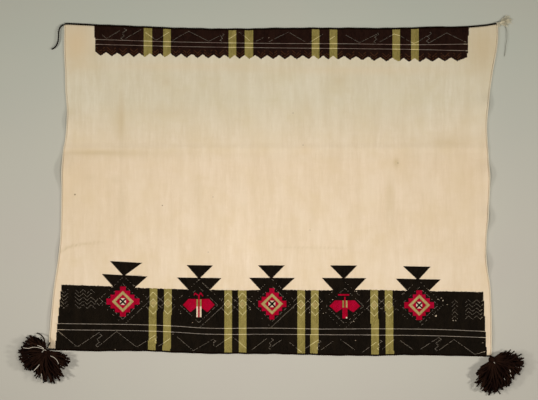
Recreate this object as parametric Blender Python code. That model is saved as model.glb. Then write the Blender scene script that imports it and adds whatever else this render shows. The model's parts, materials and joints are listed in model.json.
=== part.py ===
"""A ceremonial manta: a cotton blanket with embroidered wool borders, laid out flat.

Metres, +Z up, +X to the right of the blanket and +Y to its top edge. The blanket lies on
the plane Z = 0, and the origin is the middle of that plane under the whole object.
The tables are in millimetres, measured from the middle of the cloth.
"""

import math
import random

import bmesh
import bpy
import numpy as np
from mathutils import Vector

MM = 0.001
GAP = 0.3

# The cotton sheet
SHEET_THICKNESS = 2.0
SHEET_COLUMNS = 40
SHEET_ROWS = 30

# The embroidery stands on the sheet as a dense layer of wool
WOOL_HEIGHT = 1.2
WOOL_ROOT = 1.0
WOOL_EDGE_INSET = 1.5

# The cords along the four edges
CORD_RADIUS = 2.0
CORD_SIDES = 2
EDGE_GAP = 0.45
TOP_CORD_SHORTER = 2.5

# Corners of the blanket, outside its cords
TOP_LEFT = (-680.0, 579.0)
TOP_RIGHT = (752.0, 580.0)
BOTTOM_LEFT = (-731.6, -493.4)
BOTTOM_RIGHT = (731.6, -516.5)

# Outer edges: (x, y) from left to right, and (y, x) from bottom to top
TOP_EDGE = [
    (-680.0, 579.0),
    (-462.0, 574.2),
    (-297.0, 566.6),
    (-148.5, 564.6),
    (99.0, 567.6),
    (429.0, 566.3),
    (528.0, 570.2),
    (653.0, 571.0),
    (752.0, 580.0),
]
BOTTOM_EDGE = [
    (-731.6, -493.4),
    (-582.0, -498.3),
    (-394.0, -500.3),
    (-234.0, -503.3),
    (0.0, -505.9),
    (219.5, -513.5),
    (433.3, -509.9),
    (624.7, -512.8),
    (731.6, -516.5),
]
LEFT_EDGE = [
    (-493.4, -731.6),
    (-396.0, -723.4),
    (-273.9, -711.2),
    (-227.7, -703.6),
    (-151.8, -692.3),
    (-49.5, -687.1),
    (62.7, -685.1),
    (158.4, -681.5),
    (211.2, -674.2),
    (293.7, -667.9),
    (333.3, -669.9),
    (429.0, -674.2),
    (485.1, -680.0),
    (579.0, -680.0),
]
RIGHT_EDGE = [
    (-516.5, 731.6),
    (-396.0, 732.3),
    (-280.5, 726.7),
    (-198.0, 714.5),
    (-158.4, 714.5),
    (-49.5, 721.1),
    (62.7, 726.7),
    (141.9, 722.4),
    (244.2, 717.1),
    (333.3, 723.7),
    (438.9, 738.5),
    (495.0, 748.8),
    (538.0, 753.5),
    (580.0, 752.0),
]

# Ripples where a side edge lifts off the surface: side, middle y, half length, height, reach inwards
RIPPLES = [
    ("left", 99.0, 95.0, 11.0, 120.0),
    ("left", -170.0, 70.0, 4.0, 90.0),
    ("right", 335.0, 70.0, 5.0, 90.0),
    ("right", 62.0, 62.0, 10.0, 110.0),
    ("right", -60.0, 58.0, 10.0, 110.0),
    ("right", -205.0, 52.0, 8.0, 100.0),
]

# The crease left across the cloth where it was stored folded
CREASE_Y = 171.0
CREASE_HALF_WIDTH = 16.0
CREASE_HEIGHT = 1.6

# The top border: its sides, and its lower edge of teeth
TOP_BAND_LEFT = (-579.0, -576.0)
TOP_BAND_RIGHT = (655.7, 651.0)
TOOTH_DEPTH = 13.0
TOOTH_COUNT = 33
# Anchors (tooth number, x of its tip); the teeth between two anchors are evenly spaced
TOOTH_ANCHORS = [
    (0, -558.7),
    (4, -412.5),
    (6, -346.5),
    (12, -132.0),
    (14, -68.3),
    (19, 127.4),
    (22, 224.4),
    (27, 423.4),
    (29, 494.3),
    (32, 617.8),
]
# Height of the teeth's tips: (x, y)
TOOTH_TIPS = [
    (-561.0, 477.0),
    (-488.0, 474.0),
    (-317.0, 471.5),
    (-165.0, 467.6),
    (43.0, 466.3),
    (195.0, 465.6),
    (300.0, 463.0),
    (389.0, 459.0),
    (495.0, 457.0),
    (617.0, 459.4),
]

# The bottom border: the x of its two sides at their top and foot, and its upper edge (x, y)
BOTTOM_BAND_LEFT = (-688.4, -710.5)
BOTTOM_BAND_RIGHT = (702.6, 714.4)
BOTTOM_BAND_TOP = [
    (-690.0, -279.2),
    (-525.0, -285.0),
    (-396.0, -291.0),
    (-198.0, -296.3),
    (-79.0, -297.7),
    (-33.0, -296.3),
    (162.0, -297.7),
    (280.0, -296.0),
    (449.0, -299.0),
    (703.0, -303.6),
]
BAND_STEP = 90.0

# Terraced figures on the bottom border: an inverted triangle on an inverted trapezoid
FIGURE_BASE_HALF = 36.0
FIGURE_LOWER_HALF = 72.5
FIGURE_LOWER_HEIGHT = 39.0
FIGURE_NECK_HALF = 4.0
FIGURE_UPPER_HEIGHT = 41.5
# Each figure: x of its apex, half width of its upper triangle, shift of that triangle, lean of both tops
FIGURES = [
    (-482.0, 50.3, 7.6, -0.055),
    (-234.0, 43.2, 2.6, -0.014),
    (4.0, 43.9, 0.5, -0.004),
    (243.5, 44.6, -1.0, -0.006),
    (487.7, 45.5, -3.6, -0.020),
]

# The free end of the dark cord at the top left corner, and the white thread at the top right
TIE_RADIUS = 1.9
TIE_ROUTE = [
    (-678.4, 577.0),
    (-684.0, 576.7),
    (-689.6, 572.6),
    (-693.8, 565.0),
    (-696.6, 552.8),
    (-697.3, 536.0),
    (-698.8, 523.6),
    (-703.6, 510.8),
    (-711.2, 501.8),
    (-720.4, 497.0),
]
TIE_STEP = 8.0
THREAD_RADIUS = 0.8
THREAD_ROUTE = [
    (761.4, 578.2),
    (766.0, 577.6),
    (771.5, 575.6),
    (776.6, 570.4),
    (780.2, 560.0),
    (781.2, 546.0),
    (780.6, 528.0),
    (777.2, 511.0),
    (776.2, 495.0),
    (773.0, 474.0),
]
THREAD_STEP = 4.5
ROUTE_SAMPLES = 400

# A bunch of yarn: its head, the layers of strands round it, and how far they reach (angle, reach)
LEFT_TASSEL = dict(
    head=(-735.7, -501.2),
    head_radius=9.5,
    fan=(-14.0, -238.0),
    columns=18,
    back_columns=6,
    layers=5,
    layer_height=3.9,
    strand=(4.6, 3.4),
    stations=(21.0, 0.5, 1.0),
    puff=0.35,
    sway=0.15,
    seed=3,
    reach=[
        (-238.0, 66.0),
        (-214.0, 84.0),
        (-194.0, 94.0),
        (-169.0, 97.0),
        (-140.0, 93.0),
        (-101.0, 98.0),
        (-73.0, 104.0),
        (-50.0, 94.0),
        (-14.0, 84.0),
    ],
)
RIGHT_TASSEL = dict(
    head=(731.0, -526.1),
    head_radius=9.5,
    fan=(30.0, -146.0),
    columns=15,
    back_columns=9,
    layers=6,
    layer_height=3.9,
    strand=(4.6, 3.4),
    stations=(22.0, 0.5, 1.0),
    puff=0.35,
    sway=0.13,
    seed=8,
    reach=[
        (-146.0, 45.0),
        (-132.0, 72.0),
        (-120.0, 86.0),
        (-96.0, 112.0),
        (-83.0, 118.0),
        (-65.0, 108.0),
        (-48.0, 106.0),
        (-30.0, 98.0),
        (-6.0, 104.0),
        (12.0, 84.0),
        (30.0, 52.0),
    ],
)
TUFT = dict(
    head=(755.0, 582.5),
    head_radius=7.0,
    fan=(48.0, -8.0),
    columns=5,
    back_columns=9,
    layers=3,
    layer_height=3.2,
    strand=(1.6, 1.4),
    stations=(14.0, 0.5, 1.0),
    puff=0.3,
    sway=0.3,
    seed=5,
    reach=[(-8.0, 38.0), (20.0, 45.0), (48.0, 26.0)],
)
# A strand is narrow where it leaves the head and at its cut end
STRAND_TAPER = (0.76, 1.0, 0.75)
# The strands of a higher layer are shorter and lie between those below, and no two are cut alike
LAYER_SHORTENING = 0.055
LAYER_STAGGER = (0.0, 0.4, -0.25, 0.2, -0.4, 0.1)
CUT_SPREAD = 0.14
# The arch and the sway of a bunch are measured over this distance from its head
BUNCH_SPAN = 110.0
STRAY_ANGLE = 0.022
HEAD_DOME = 3.0
HEAD_DOME_RADIUS = 0.55


def smooth(rows, at):
    """The value at one place along a smooth curve through the rows (place, value)."""
    places, values = np.array(rows, float).T
    slopes = np.gradient(values, places)
    i = int(np.clip(np.searchsorted(places, at) - 1, 0, len(places) - 2))
    span = places[i + 1] - places[i]
    t = (at - places[i]) / span
    start = (1 + 2 * t) * (1 - t) ** 2 * values[i]
    end = t * t * (3 - 2 * t) * values[i + 1]
    bend = t * (1 - t) ** 2 * slopes[i] - t * t * (1 - t) * slopes[i + 1]
    return float(start + end + span * bend)


def between(start, end, count):
    return [start + (end - start) * i / count for i in range(count + 1)]


def lift(x, y):
    """How far the underside of the cloth stands off the surface at one place."""
    height = 0.0
    for side, middle, half_length, top, reach in RIPPLES:
        along = abs(y - middle) / half_length
        edge = smooth(LEFT_EDGE if side == "left" else RIGHT_EDGE, y)
        inwards = abs(x - edge) / reach
        if along < 1 and inwards < 1:
            height += top * math.cos(along * math.pi / 2) ** 2 * (1 - inwards) ** 2
    across = abs(y - CREASE_Y) / CREASE_HALF_WIDTH
    if across < 1:
        height = max(height, CREASE_HEIGHT * math.cos(across * math.pi / 2) ** 2)
    return height


def sheet_edges(inset):
    """The four edges of the cloth, each a function of 0 to 1, drawn in by the inset."""

    def across(edge, start, end, shift):
        def point(t):
            x = start + (end - start) * t
            return Vector((x + inset * (1 - 2 * t), smooth(edge, x) + shift))

        return point

    def along(edge, start, end, shift):
        def point(t):
            y = start + (end - start) * t
            return Vector((smooth(edge, y) + shift, y + inset * (1 - 2 * t)))

        return point

    return (
        across(BOTTOM_EDGE, BOTTOM_LEFT[0], BOTTOM_RIGHT[0], inset),
        across(TOP_EDGE, TOP_LEFT[0], TOP_RIGHT[0], -inset),
        along(LEFT_EDGE, BOTTOM_LEFT[1], TOP_LEFT[1], inset),
        along(RIGHT_EDGE, BOTTOM_RIGHT[1], TOP_RIGHT[1], -inset),
    )


def row_places():
    """Places of the sheet's rows from 0 to 1, with five of them on the crease."""
    height = TOP_LEFT[1] - BOTTOM_LEFT[1]
    crease = (CREASE_Y - BOTTOM_LEFT[1]) / height
    reach = CREASE_HALF_WIDTH / height
    even = [v for v in between(0.0, 1.0, SHEET_ROWS) if abs(v - crease) > 1.5 * reach]
    return sorted(even + between(crease - reach, crease + reach, 4))


def new_object(name, mesh_or_curve, material):
    item = bpy.data.objects.new(name, mesh_or_curve)
    bpy.context.scene.collection.objects.link(item)
    item.data.materials.append(material)
    return item


def mesh_from(name, bm):
    bmesh.ops.recalc_face_normals(bm, faces=bm.faces)
    mesh = bpy.data.meshes.new(name)
    bm.to_mesh(mesh)
    bm.free()
    return mesh


def fill_sheet(bm):
    """The cloth: a grid between its four edges, given its thickness downwards to its underside."""
    bottom, top, left, right = sheet_edges(2 * CORD_RADIUS + EDGE_GAP)
    corner = {
        (u, v): left(v) * (1 - u) + right(v) * u for u in (0, 1) for v in (0, 1)
    }
    upper, lower = [], []
    for v in row_places():
        for u in between(0.0, 1.0, SHEET_COLUMNS):
            ends = bottom(u) * (1 - v) + top(u) * v
            sides = left(v) * (1 - u) + right(v) * u
            low = corner[0, 0] * (1 - u) + corner[1, 0] * u
            high = corner[0, 1] * (1 - u) + corner[1, 1] * u
            place = ends + sides - (low * (1 - v) + high * v)
            under = lift(place.x, place.y)
            lower.append(bm.verts.new((place.x * MM, place.y * MM, under * MM)))
            over = under + SHEET_THICKNESS
            upper.append(bm.verts.new((place.x * MM, place.y * MM, over * MM)))
    width = SHEET_COLUMNS + 1
    count = len(upper) // width
    for row in range(count - 1):
        for column in range(SHEET_COLUMNS):
            a = row * width + column
            for layer in (upper, lower):
                bm.faces.new(
                    (layer[a], layer[a + 1], layer[a + width + 1], layer[a + width])
                )
    rim = [*range(width)]
    rim += [width * row + SHEET_COLUMNS for row in range(1, count)]
    rim += [width * (count - 1) + column for column in range(SHEET_COLUMNS - 1, -1, -1)]
    rim += [width * row for row in range(count - 2, 0, -1)]
    for a, b in zip(rim, rim[1:] + rim[:1]):
        bm.faces.new((lower[a], lower[b], upper[b], upper[a]))


def tooth_edge():
    """The lower edge of the top border from right to left, down to each tooth's tip and back up."""
    anchors = np.array(TOOTH_ANCHORS)
    tips = np.interp(range(TOOTH_COUNT), anchors[:, 0], anchors[:, 1])
    notches = [
        TOP_BAND_LEFT[1],
        *((a + b) / 2 for a, b in zip(tips, tips[1:])),
        TOP_BAND_RIGHT[1],
    ]
    points = []
    for number, notch in enumerate(notches):
        points.append((notch, smooth(TOOTH_TIPS, notch) + TOOTH_DEPTH))
        if number < TOOTH_COUNT:
            points.append((tips[number], smooth(TOOTH_TIPS, tips[number])))
    return points[::-1]


def top_band_outline():
    drop = 2 * CORD_RADIUS + GAP + WOOL_EDGE_INSET
    steps = round((TOP_BAND_RIGHT[0] - TOP_BAND_LEFT[0]) / BAND_STEP)
    line = between(TOP_BAND_LEFT[0], TOP_BAND_RIGHT[0], steps)
    return [(x, smooth(TOP_EDGE, x) - drop) for x in line] + tooth_edge()


def figure_outline(apex, upper_half, shift, lean):
    """One terraced figure from left to right, standing on the border's upper edge."""
    base = smooth(BOTTOM_BAND_TOP, apex)
    neck = base + FIGURE_LOWER_HEIGHT
    top = neck + FIGURE_UPPER_HEIGHT
    left = [
        (apex - FIGURE_BASE_HALF, base),
        (apex - FIGURE_LOWER_HALF, neck),
        (apex - FIGURE_NECK_HALF, neck),
        (apex + shift - upper_half, top),
    ]
    right = [
        (apex + shift + upper_half, top),
        (apex + FIGURE_NECK_HALF, neck),
        (apex + FIGURE_LOWER_HALF, neck),
        (apex + FIGURE_BASE_HALF, base),
    ]
    return [(x, y + lean * (x - apex)) for x, y in left + right]


def bottom_band_outline():
    start = BOTTOM_BAND_LEFT[0]
    upper = [(start, smooth(BOTTOM_BAND_TOP, start))]
    for figure in FIGURES:
        outline = figure_outline(*figure)
        steps = max(1, round((outline[0][0] - start) / BAND_STEP))
        run = between(start, outline[0][0], steps)[1:-1]
        upper += [(x, smooth(BOTTOM_BAND_TOP, x)) for x in run] + outline
        start = outline[-1][0]
    steps = round((BOTTOM_BAND_RIGHT[0] - start) / BAND_STEP)
    upper += [
        (x, smooth(BOTTOM_BAND_TOP, x))
        for x in between(start, BOTTOM_BAND_RIGHT[0], steps)[1:]
    ]
    rise = 2 * CORD_RADIUS + GAP + WOOL_EDGE_INSET
    steps = round((BOTTOM_BAND_RIGHT[1] - BOTTOM_BAND_LEFT[1]) / BAND_STEP)
    foot = between(BOTTOM_BAND_RIGHT[1], BOTTOM_BAND_LEFT[1], steps)
    return upper + [(x, smooth(BOTTOM_EDGE, x) + rise) for x in foot]


def wool_layer(name, outline):
    """A flat layer of embroidery, rooted in the sheet, to be joined to it."""
    bm = bmesh.new()
    foot = SHEET_THICKNESS - WOOL_ROOT
    face = bm.faces.new([bm.verts.new((x * MM, y * MM, foot * MM)) for x, y in outline])
    raised = bmesh.ops.extrude_face_region(bm, geom=[face])["geom"]
    corners = [item for item in raised if isinstance(item, bmesh.types.BMVert)]
    rise = Vector((0, 0, (WOOL_ROOT + WOOL_HEIGHT) * MM))
    bmesh.ops.translate(bm, verts=corners, vec=rise)
    bmesh.ops.triangulate(bm, faces=bm.faces)
    layer = bpy.data.objects.new(name, mesh_from(name, bm))
    bpy.context.scene.collection.objects.link(layer)
    layer.hide_render = True
    layer.display_type = "WIRE"
    return layer


def build_cloth(cotton):
    bm = bmesh.new()
    fill_sheet(bm)
    cloth = new_object("cloth", mesh_from("cloth", bm), cotton)
    layers = [
        wool_layer("top_embroidery", top_band_outline()),
        wool_layer("bottom_embroidery", bottom_band_outline()),
    ]
    for layer in layers:
        join = cloth.modifiers.new(layer.name, "BOOLEAN")
        join.operation = "UNION"
        join.object = layer
    return [cloth, *layers]


def build_cord(name, points, radius, material):
    """A round cord through the points, which are in millimetres."""
    curve = bpy.data.curves.new(name, "CURVE")
    curve.dimensions = "3D"
    curve.bevel_depth = radius * MM
    curve.bevel_resolution = CORD_SIDES
    curve.use_fill_caps = True
    spline = curve.splines.new("POLY")
    spline.points.add(len(points) - 1)
    for point, place in zip(spline.points, points):
        point.co = (place[0] * MM, place[1] * MM, place[2] * MM, 1)
    return new_object(name, curve, material)


def edge_cords(wool, cotton):
    """The cords twined into the four edges; the two side cords end under the top and bottom ones."""
    r = CORD_RADIUS
    bottom, top, left, right = sheet_edges(r)
    columns = between(0.0, 1.0, SHEET_COLUMNS)
    trim = (r + GAP) / (TOP_LEFT[1] - BOTTOM_LEFT[1])
    rows = [v for v in row_places() if trim < v < 1 - trim]
    rows = [trim, *rows, 1 - trim]
    top_end = 1 - TOP_CORD_SHORTER / (TOP_RIGHT[0] - TOP_LEFT[0])
    cords = []
    for name, edge, stations, material in (
        ("top_edge_cord", top, columns[:-1] + [top_end], wool),
        ("bottom_edge_cord", bottom, columns, wool),
        ("left_edge_cord", left, rows, cotton),
        ("right_edge_cord", right, rows, cotton),
    ):
        places = [edge(t) for t in stations]
        points = [(p.x, p.y, lift(p.x, p.y) + r) for p in places]
        cords.append(build_cord(name, points, r, material))
    return cords


def along_route(route, step):
    """Points a step apart along a smooth curve through the route's own points."""
    count = len(route) - 1
    number = range(len(route))
    xs = [(i, x) for i, (x, y) in zip(number, route)]
    ys = [(i, y) for i, (x, y) in zip(number, route)]
    fine = [
        Vector((smooth(xs, t), smooth(ys, t)))
        for t in between(0.0, float(count), ROUTE_SAMPLES)
    ]
    run = np.cumsum([0.0] + [(b - a).length for a, b in zip(fine, fine[1:])])
    stops = np.linspace(0.0, run[-1], max(2, round(run[-1] / step)) + 1)
    x = np.interp(stops, run, [p.x for p in fine])
    y = np.interp(stops, run, [p.y for p in fine])
    return list(zip(x, y))


def build_free_ends(wool, cotton):
    tie = [(x, y, TIE_RADIUS) for x, y in along_route(TIE_ROUTE, TIE_STEP)]
    thread = [(x, y, THREAD_RADIUS) for x, y in along_route(THREAD_ROUTE, THREAD_STEP)]
    return [
        build_cord("tie_top_left", tie, TIE_RADIUS, wool),
        build_cord("thread_top_right", thread, THREAD_RADIUS, cotton),
    ]


def build_bunch(name, size, material):
    """A tied head whose side is a grid of cells; a strand grows out of each cell of the fan."""
    rng = random.Random(size["seed"])
    radius = size["head_radius"]
    head_x, head_y = size["head"]
    first, last = (math.radians(angle) for angle in size["fan"])
    columns, layers = size["columns"], size["layers"]
    pitch = size["layer_height"]
    angles = between(first, last, columns)
    angles += between(last, first - math.tau, size["back_columns"])[1:-1]
    bm = bmesh.new()

    def corner(angle, distance, height):
        x = head_x + distance * math.cos(angle)
        y = head_y + distance * math.sin(angle)
        return bm.verts.new((x * MM, y * MM, height * MM))

    grid = [[corner(a, radius, k * pitch) for k in range(layers + 1)] for a in angles]
    dome = [
        corner(a, radius * HEAD_DOME_RADIUS, layers * pitch + HEAD_DOME) for a in angles
    ]
    bm.faces.new([column[0] for column in grid])
    bm.faces.new(dome)
    for j, column in enumerate(grid):
        following = grid[(j + 1) % len(grid)]
        after = dome[(j + 1) % len(grid)]
        bm.faces.new((column[layers], following[layers], after, dome[j]))
        for k in range(layers):
            cell = (column[k], following[k], following[k + 1], column[k + 1])
            if j < columns:
                angle = (angles[j] + angles[j + 1]) / 2
                grow_strand(bm, corner, cell, angle, k, size, rng)
            else:
                bm.faces.new(cell)
    return new_object(name, mesh_from(name, bm), material)


def grow_strand(bm, corner, cell, angle, layer, size, rng):
    """One four-sided strand from its cell of the head out to its cut end."""
    width, height = size["strand"]
    cut = 1 - LAYER_SHORTENING * layer - CUT_SPREAD * rng.random()
    reach = smooth(size["reach"], math.degrees(angle)) * cut
    stray = STRAY_ANGLE * (2 * rng.random() - 1)
    column = math.radians(size["fan"][0] - size["fan"][1]) / size["columns"]
    angle += LAYER_STAGGER[layer] * column
    near, *rest = size["stations"]
    distances = [near] + [near + (reach - near) * part for part in rest]
    ring = cell
    for distance, taper in zip(distances, STRAND_TAPER):
        out = distance / BUNCH_SPAN
        sway = size["sway"] * math.sin(3 * angle + 1.7 * layer) * out**2
        bearing = angle + sway + stray * out
        arch = 1 + size["puff"] * math.sin(math.pi * min(1.0, out))
        foot = layer * size["layer_height"] * arch
        half = width * taper / 2 / distance
        # The fan is numbered clockwise, so the cell's first side is the one at the larger angle
        step = [
            corner(bearing + half, distance, foot),
            corner(bearing - half, distance, foot),
            corner(bearing - half, distance, foot + height),
            corner(bearing + half, distance, foot + height),
        ]
        for i in range(4):
            bm.faces.new((ring[i], ring[(i + 1) % 4], step[(i + 1) % 4], step[i]))
        ring = step
    bm.faces.new(ring)


def new_material(name, colour, roughness):
    material = bpy.data.materials.new(name)
    material.use_nodes = True
    shader = material.node_tree.nodes["Principled BSDF"]
    shader.inputs["Base Color"].default_value = (*colour, 1)
    shader.inputs["Roughness"].default_value = roughness
    shader.inputs["Metallic"].default_value = 0.0
    return material


def centre_on_origin(pieces, everything):
    """Moves the object so that the middle of its solid pieces, free ends left out, is over the origin."""
    bpy.context.view_layer.update()
    graph = bpy.context.evaluated_depsgraph_get()
    corners = []
    for piece in pieces:
        shape = piece.evaluated_get(graph)
        mesh = shape.to_mesh()
        corners += [vertex.co.copy() for vertex in mesh.vertices]
        shape.to_mesh_clear()
    span = np.array(corners)
    middle = (span.min(axis=0) + span.max(axis=0)) / 2
    base = bpy.data.objects.new("manta", None)
    bpy.context.scene.collection.objects.link(base)
    base.location = (-middle[0], -middle[1], 0.0)
    for item in everything:
        item.parent = base
    bpy.context.view_layer.update()


def main():
    for item in list(bpy.data.objects):
        bpy.data.objects.remove(item)
    cotton = new_material("handspun_cotton", (0.80, 0.63, 0.43), 0.9)
    white_cotton = new_material("cotton_cord", (0.78, 0.62, 0.43), 0.9)
    wool = new_material("dark_wool", (0.02, 0.014, 0.012), 0.85)
    cloth, *layers = build_cloth(cotton)
    pieces = [
        cloth,
        *edge_cords(wool, white_cotton),
        build_bunch("tassel_left", LEFT_TASSEL, wool),
        build_bunch("tassel_right", RIGHT_TASSEL, wool),
        build_bunch("tuft_top_right", TUFT, white_cotton),
    ]
    centre_on_origin(pieces, pieces + layers + build_free_ends(wool, white_cotton))


main()
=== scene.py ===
import json
import math
import random

import bpy
import numpy as np
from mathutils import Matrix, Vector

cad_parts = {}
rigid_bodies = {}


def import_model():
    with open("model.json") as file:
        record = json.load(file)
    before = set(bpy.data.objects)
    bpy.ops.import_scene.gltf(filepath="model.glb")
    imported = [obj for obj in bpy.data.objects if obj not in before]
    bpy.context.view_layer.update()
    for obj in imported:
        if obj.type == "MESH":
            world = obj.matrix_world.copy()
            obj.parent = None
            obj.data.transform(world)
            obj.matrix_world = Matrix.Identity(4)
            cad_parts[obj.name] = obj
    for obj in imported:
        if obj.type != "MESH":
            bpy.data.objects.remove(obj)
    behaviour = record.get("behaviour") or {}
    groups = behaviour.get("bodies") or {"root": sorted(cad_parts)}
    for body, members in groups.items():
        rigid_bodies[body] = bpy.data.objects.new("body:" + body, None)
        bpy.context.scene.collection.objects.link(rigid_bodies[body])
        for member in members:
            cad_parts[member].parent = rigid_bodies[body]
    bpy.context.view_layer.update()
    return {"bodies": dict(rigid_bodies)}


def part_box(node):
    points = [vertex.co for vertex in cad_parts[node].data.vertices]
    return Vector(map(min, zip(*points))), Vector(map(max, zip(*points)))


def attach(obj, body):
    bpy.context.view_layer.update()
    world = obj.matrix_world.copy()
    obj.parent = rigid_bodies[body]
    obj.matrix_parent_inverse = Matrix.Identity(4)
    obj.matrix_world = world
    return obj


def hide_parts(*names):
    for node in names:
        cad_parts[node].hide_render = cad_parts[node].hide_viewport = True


# How a ceremonial manta looks: cotton cloth, wool embroidery, plied edge cords, tassels and a tuft.
# Tables are in millimetres, measured from the middle of the cloth, as the solids' own sizes are.

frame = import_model()

MM = 0.001

# The cotton cloth
SHEET_THICKNESS = 2.0
SHEET_COLUMNS = 216
SHEET_ROWS = 162
# Its weave, drawn about twice as coarse as real threads, so that it shows
THREAD_PITCH = 2.2
# How long one wave of the wave texture is at a scale of 1
WAVE_TEXTURE_PERIOD = 0.31416
# Wool cords look thicker than the hard core that their solids stand for, as their yarn is hairy
WOOL_CORD_RADIUS = 3.2
COTTON_CORD_RADIUS = 2.3
# They also wander a little, as they were twined in by hand
WOOL_CORD_WAVE = 0.45
# The cloth is tucked into its cords by this much
SHEET_INSET = 3.3
# Lowest x and y of the cloth's solid
SOLID_CORNER = (-727.15, -512.05)

# Corners of the blanket, outside its cords
TOP_LEFT = (-680.0, 584.2)
TOP_RIGHT = (753.0, 585.0)
BOTTOM_LEFT = (-732.5, -495.0)
BOTTOM_RIGHT = (732.5, -518.0)

# Outer edges: (x, y) from left to right, and (y, x) from bottom to top
TOP_EDGE = [
    (-680, 584.2), (-620, 581.8), (-561, 578.6), (-462, 574.8), (-363, 570.5), (-264, 567.3),
    (-115, 565.2), (33, 567.6), (231, 568.2), (429, 568.2), (528, 571.6), (640, 573), (693, 576.6),
    (753, 585),
]
BOTTOM_EDGE = [
    (-732.5, -495), (-594, -499.6), (-429, -499.2), (-330, -503.2), (-231, -507.2), (-33, -508.6),
    (66, -510), (165, -512.8), (363, -514.6), (462, -512.4), (561, -514.2), (644, -515.6),
    (732.5, -518),
]
LEFT_EDGE = [
    (-495, -732.5), (-396, -724), (-273.9, -711.8), (-227.7, -704.6), (-151.8, -694.4),
    (-49.5, -690), (40, -688.4), (132, -686), (158.4, -684.2), (201, -676.8), (290, -670.4),
    (363, -675.4), (429, -677), (485.1, -680), (584.2, -680),
]
RIGHT_EDGE = [
    (-518, 732.5), (-396, 732.3), (-280.5, 726.7), (-198, 714.5), (-158.4, 714.5), (-49.5, 721.1),
    (62.7, 726.7), (141.9, 722.4), (244.2, 717.1), (333.3, 723.7), (438.9, 738.5), (495, 748.8),
    (538, 753.5), (585, 753),
]

# Ripples where a side edge lifts off the surface: side, middle y, half length, height, reach inwards
RIPPLES = [
    ("left", 262, 52, 6, 80),
    ("left", 96, 74, 12, 120),
    ("left", -170, 70, 4, 90),
    ("left", -380, 120, 4.5, 50),
    ("right", 315, 46, 7, 80),
    ("right", 85, 54, 9.5, 95),
    ("right", -60, 54, 11, 95),
    ("right", -205, 50, 9.5, 85),
    ("right", -440, 70, 3, 40),
]

# The crease left across the cloth where it was stored folded
CREASE_Y = 171.0
CREASE_HALF_WIDTH = 16.0
CREASE_HEIGHT = 1.6

# Softer creases, each a low ridge along its points: half width, height at its start and end, points
CREASES = [
    (13, 2.2, 0.3, [(-690, -173), (-655, -160), (-621, -149), (-560, -152), (-300, -162)]),
    (16, 0.4, 0.9, [(-668, 282), (-480, 290), (-300, 286)]),
    (15, 0.9, 0.5, [(-489, 345), (-484, 262), (-492, 190)]),
    (15, 0.7, 0.4, [(-482, 30), (-489, -40), (-486, -120)]),
    (14, 0.8, 0.5, [(-243, 90), (-240, 20), (-244, -40)]),
    (14, 0.6, 0.6, [(-240, -120), (-246, -215)]),
    (14, 0.8, 0.3, [(120, 350), (126, 280)]),
    (15, 0.8, 0.6, [(394, 96), (398, 0), (392, -115)]),
    (20, 1, 0.4, [(712, 206), (610, 196), (520, 200)]),
]
# A ridge is worked out at points this far apart, fades this fast, and ends with this much of it left
RIDGE_STEP = 12.0
RIDGE_FADE = 6.0
RIDGE_END = 0.25

# Slow waves of a cloth that isn't pressed: height, how many are summed, and how long they are
WAVE_HEIGHT = 0.5
WAVE_COUNT = 9
WAVE_LENGTHS = (70.0, 230.0)
WAVE_SEED = 4
# How near to an edge creases and waves begin to die down
CALM_EDGE = 30.0

# Soiling on the cloth, with painted shade and painted light along its creases and on its rises: x, y, half
# width, half height, how much darker (below zero, lighter)
SOIL_AND_SHADING = [
    # Painted shade along creases
    (-489, 260, 9, 95, 0.45),
    (-500, 260, 26, 70, 0.15),
    (-590, 156, 95, 8, 0.5),
    # A stain
    (417, 124, 9, 14, 0.9),
    # Painted shade along creases
    (-489, -10, 18, 55, 0.25),
    (-241, 25, 14, 55, 0.25),
    (-241, -165, 14, 40, 0.22),
    (122, 313, 16, 30, 0.22),
    (396, -10, 16, 90, 0.28),
    (-450, 155, 200, 16, 0.22),
    (-340, 290, 120, 18, 0.15),
    (594, 191, 95, 14, 0.28),
    # Painted light above that crease, and on a raised place between two creases
    (594, 238, 95, 14, -0.22),
    (-617, 208, 22, 18, -0.35),
    # Stains
    (-340, 389, 17, 15, 0.30),
    (-594, 73, 17, 14, 0.28),
    (-511, 66, 16, 14, 0.25),
    (231, 396, 18, 15, 0.25),
    # Painted light along a soft fold
    (-96, -150, 40, 90, -0.25),
    # Soil in the top right corner
    (700, 500, 60, 90, 0.5),
    # A painted pool of light on the upper left and the upper right
    (-590, 350, 110, 90, -0.14),
    (610, 335, 110, 80, -0.12),
]
# Thin lines of painted shade along creases, each with its half width, its strength at both ends and its
# points
PAINTED_FOLD_SHADE = [
    (6, 0.9, 0.3, [(-692, -173), (-672, -158.4), (-635, -148.5), (-586, -142), (-544, -140)]),
    (6, 0.3, 0.3, [(23, -156), (264, -158)]),
]
# Yellowed corners, in the same way
YELLOWED = [
    (-640, 520, 60, 80, 0.85),
    (705, 520, 60, 70, 0.15),
    (-610, 60, 90, 180, 0.3),
    (650, 90, 90, 220, 0.3),
    (-300, 440, 300, 14, 0.30),
    (300, 428, 300, 14, 0.30),
    (417, 130, 38, 36, 0.35),
    (119, 163, 28, 18, 0.4),
    (-690, 30, 35, 90, 0.35),
]
# Towards its upper part the cloth turns greyer: where the change is half done, and how far it runs
GREYED_Y = 225.0
GREYED_RUN = 210.0
# How soiled the cloth is all over
SOIL_EVERYWHERE = 0.12
# How far inside the embroidery's outline the cloth, where it shows between the wool's ribs, gets its full
# painted shade
RIB_GAP_SHADE_INSET = 8.0
# Small spots: x, y, radius
SPOTS = [
    (-643.5, 18, 3.6), (-355, -18, 2.6), (109, 181, 2.2), (76, 287, 2), (422, 122, 2.2),
    (-188, 10, 1.8), (132, -99, 2), (-204, -172, 1.8),
]
# How large a spot's dark core is, as a share of the spot, and how dark
SPOT_CORE = 0.4
SPOT_DARKNESS = 0.8

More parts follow.
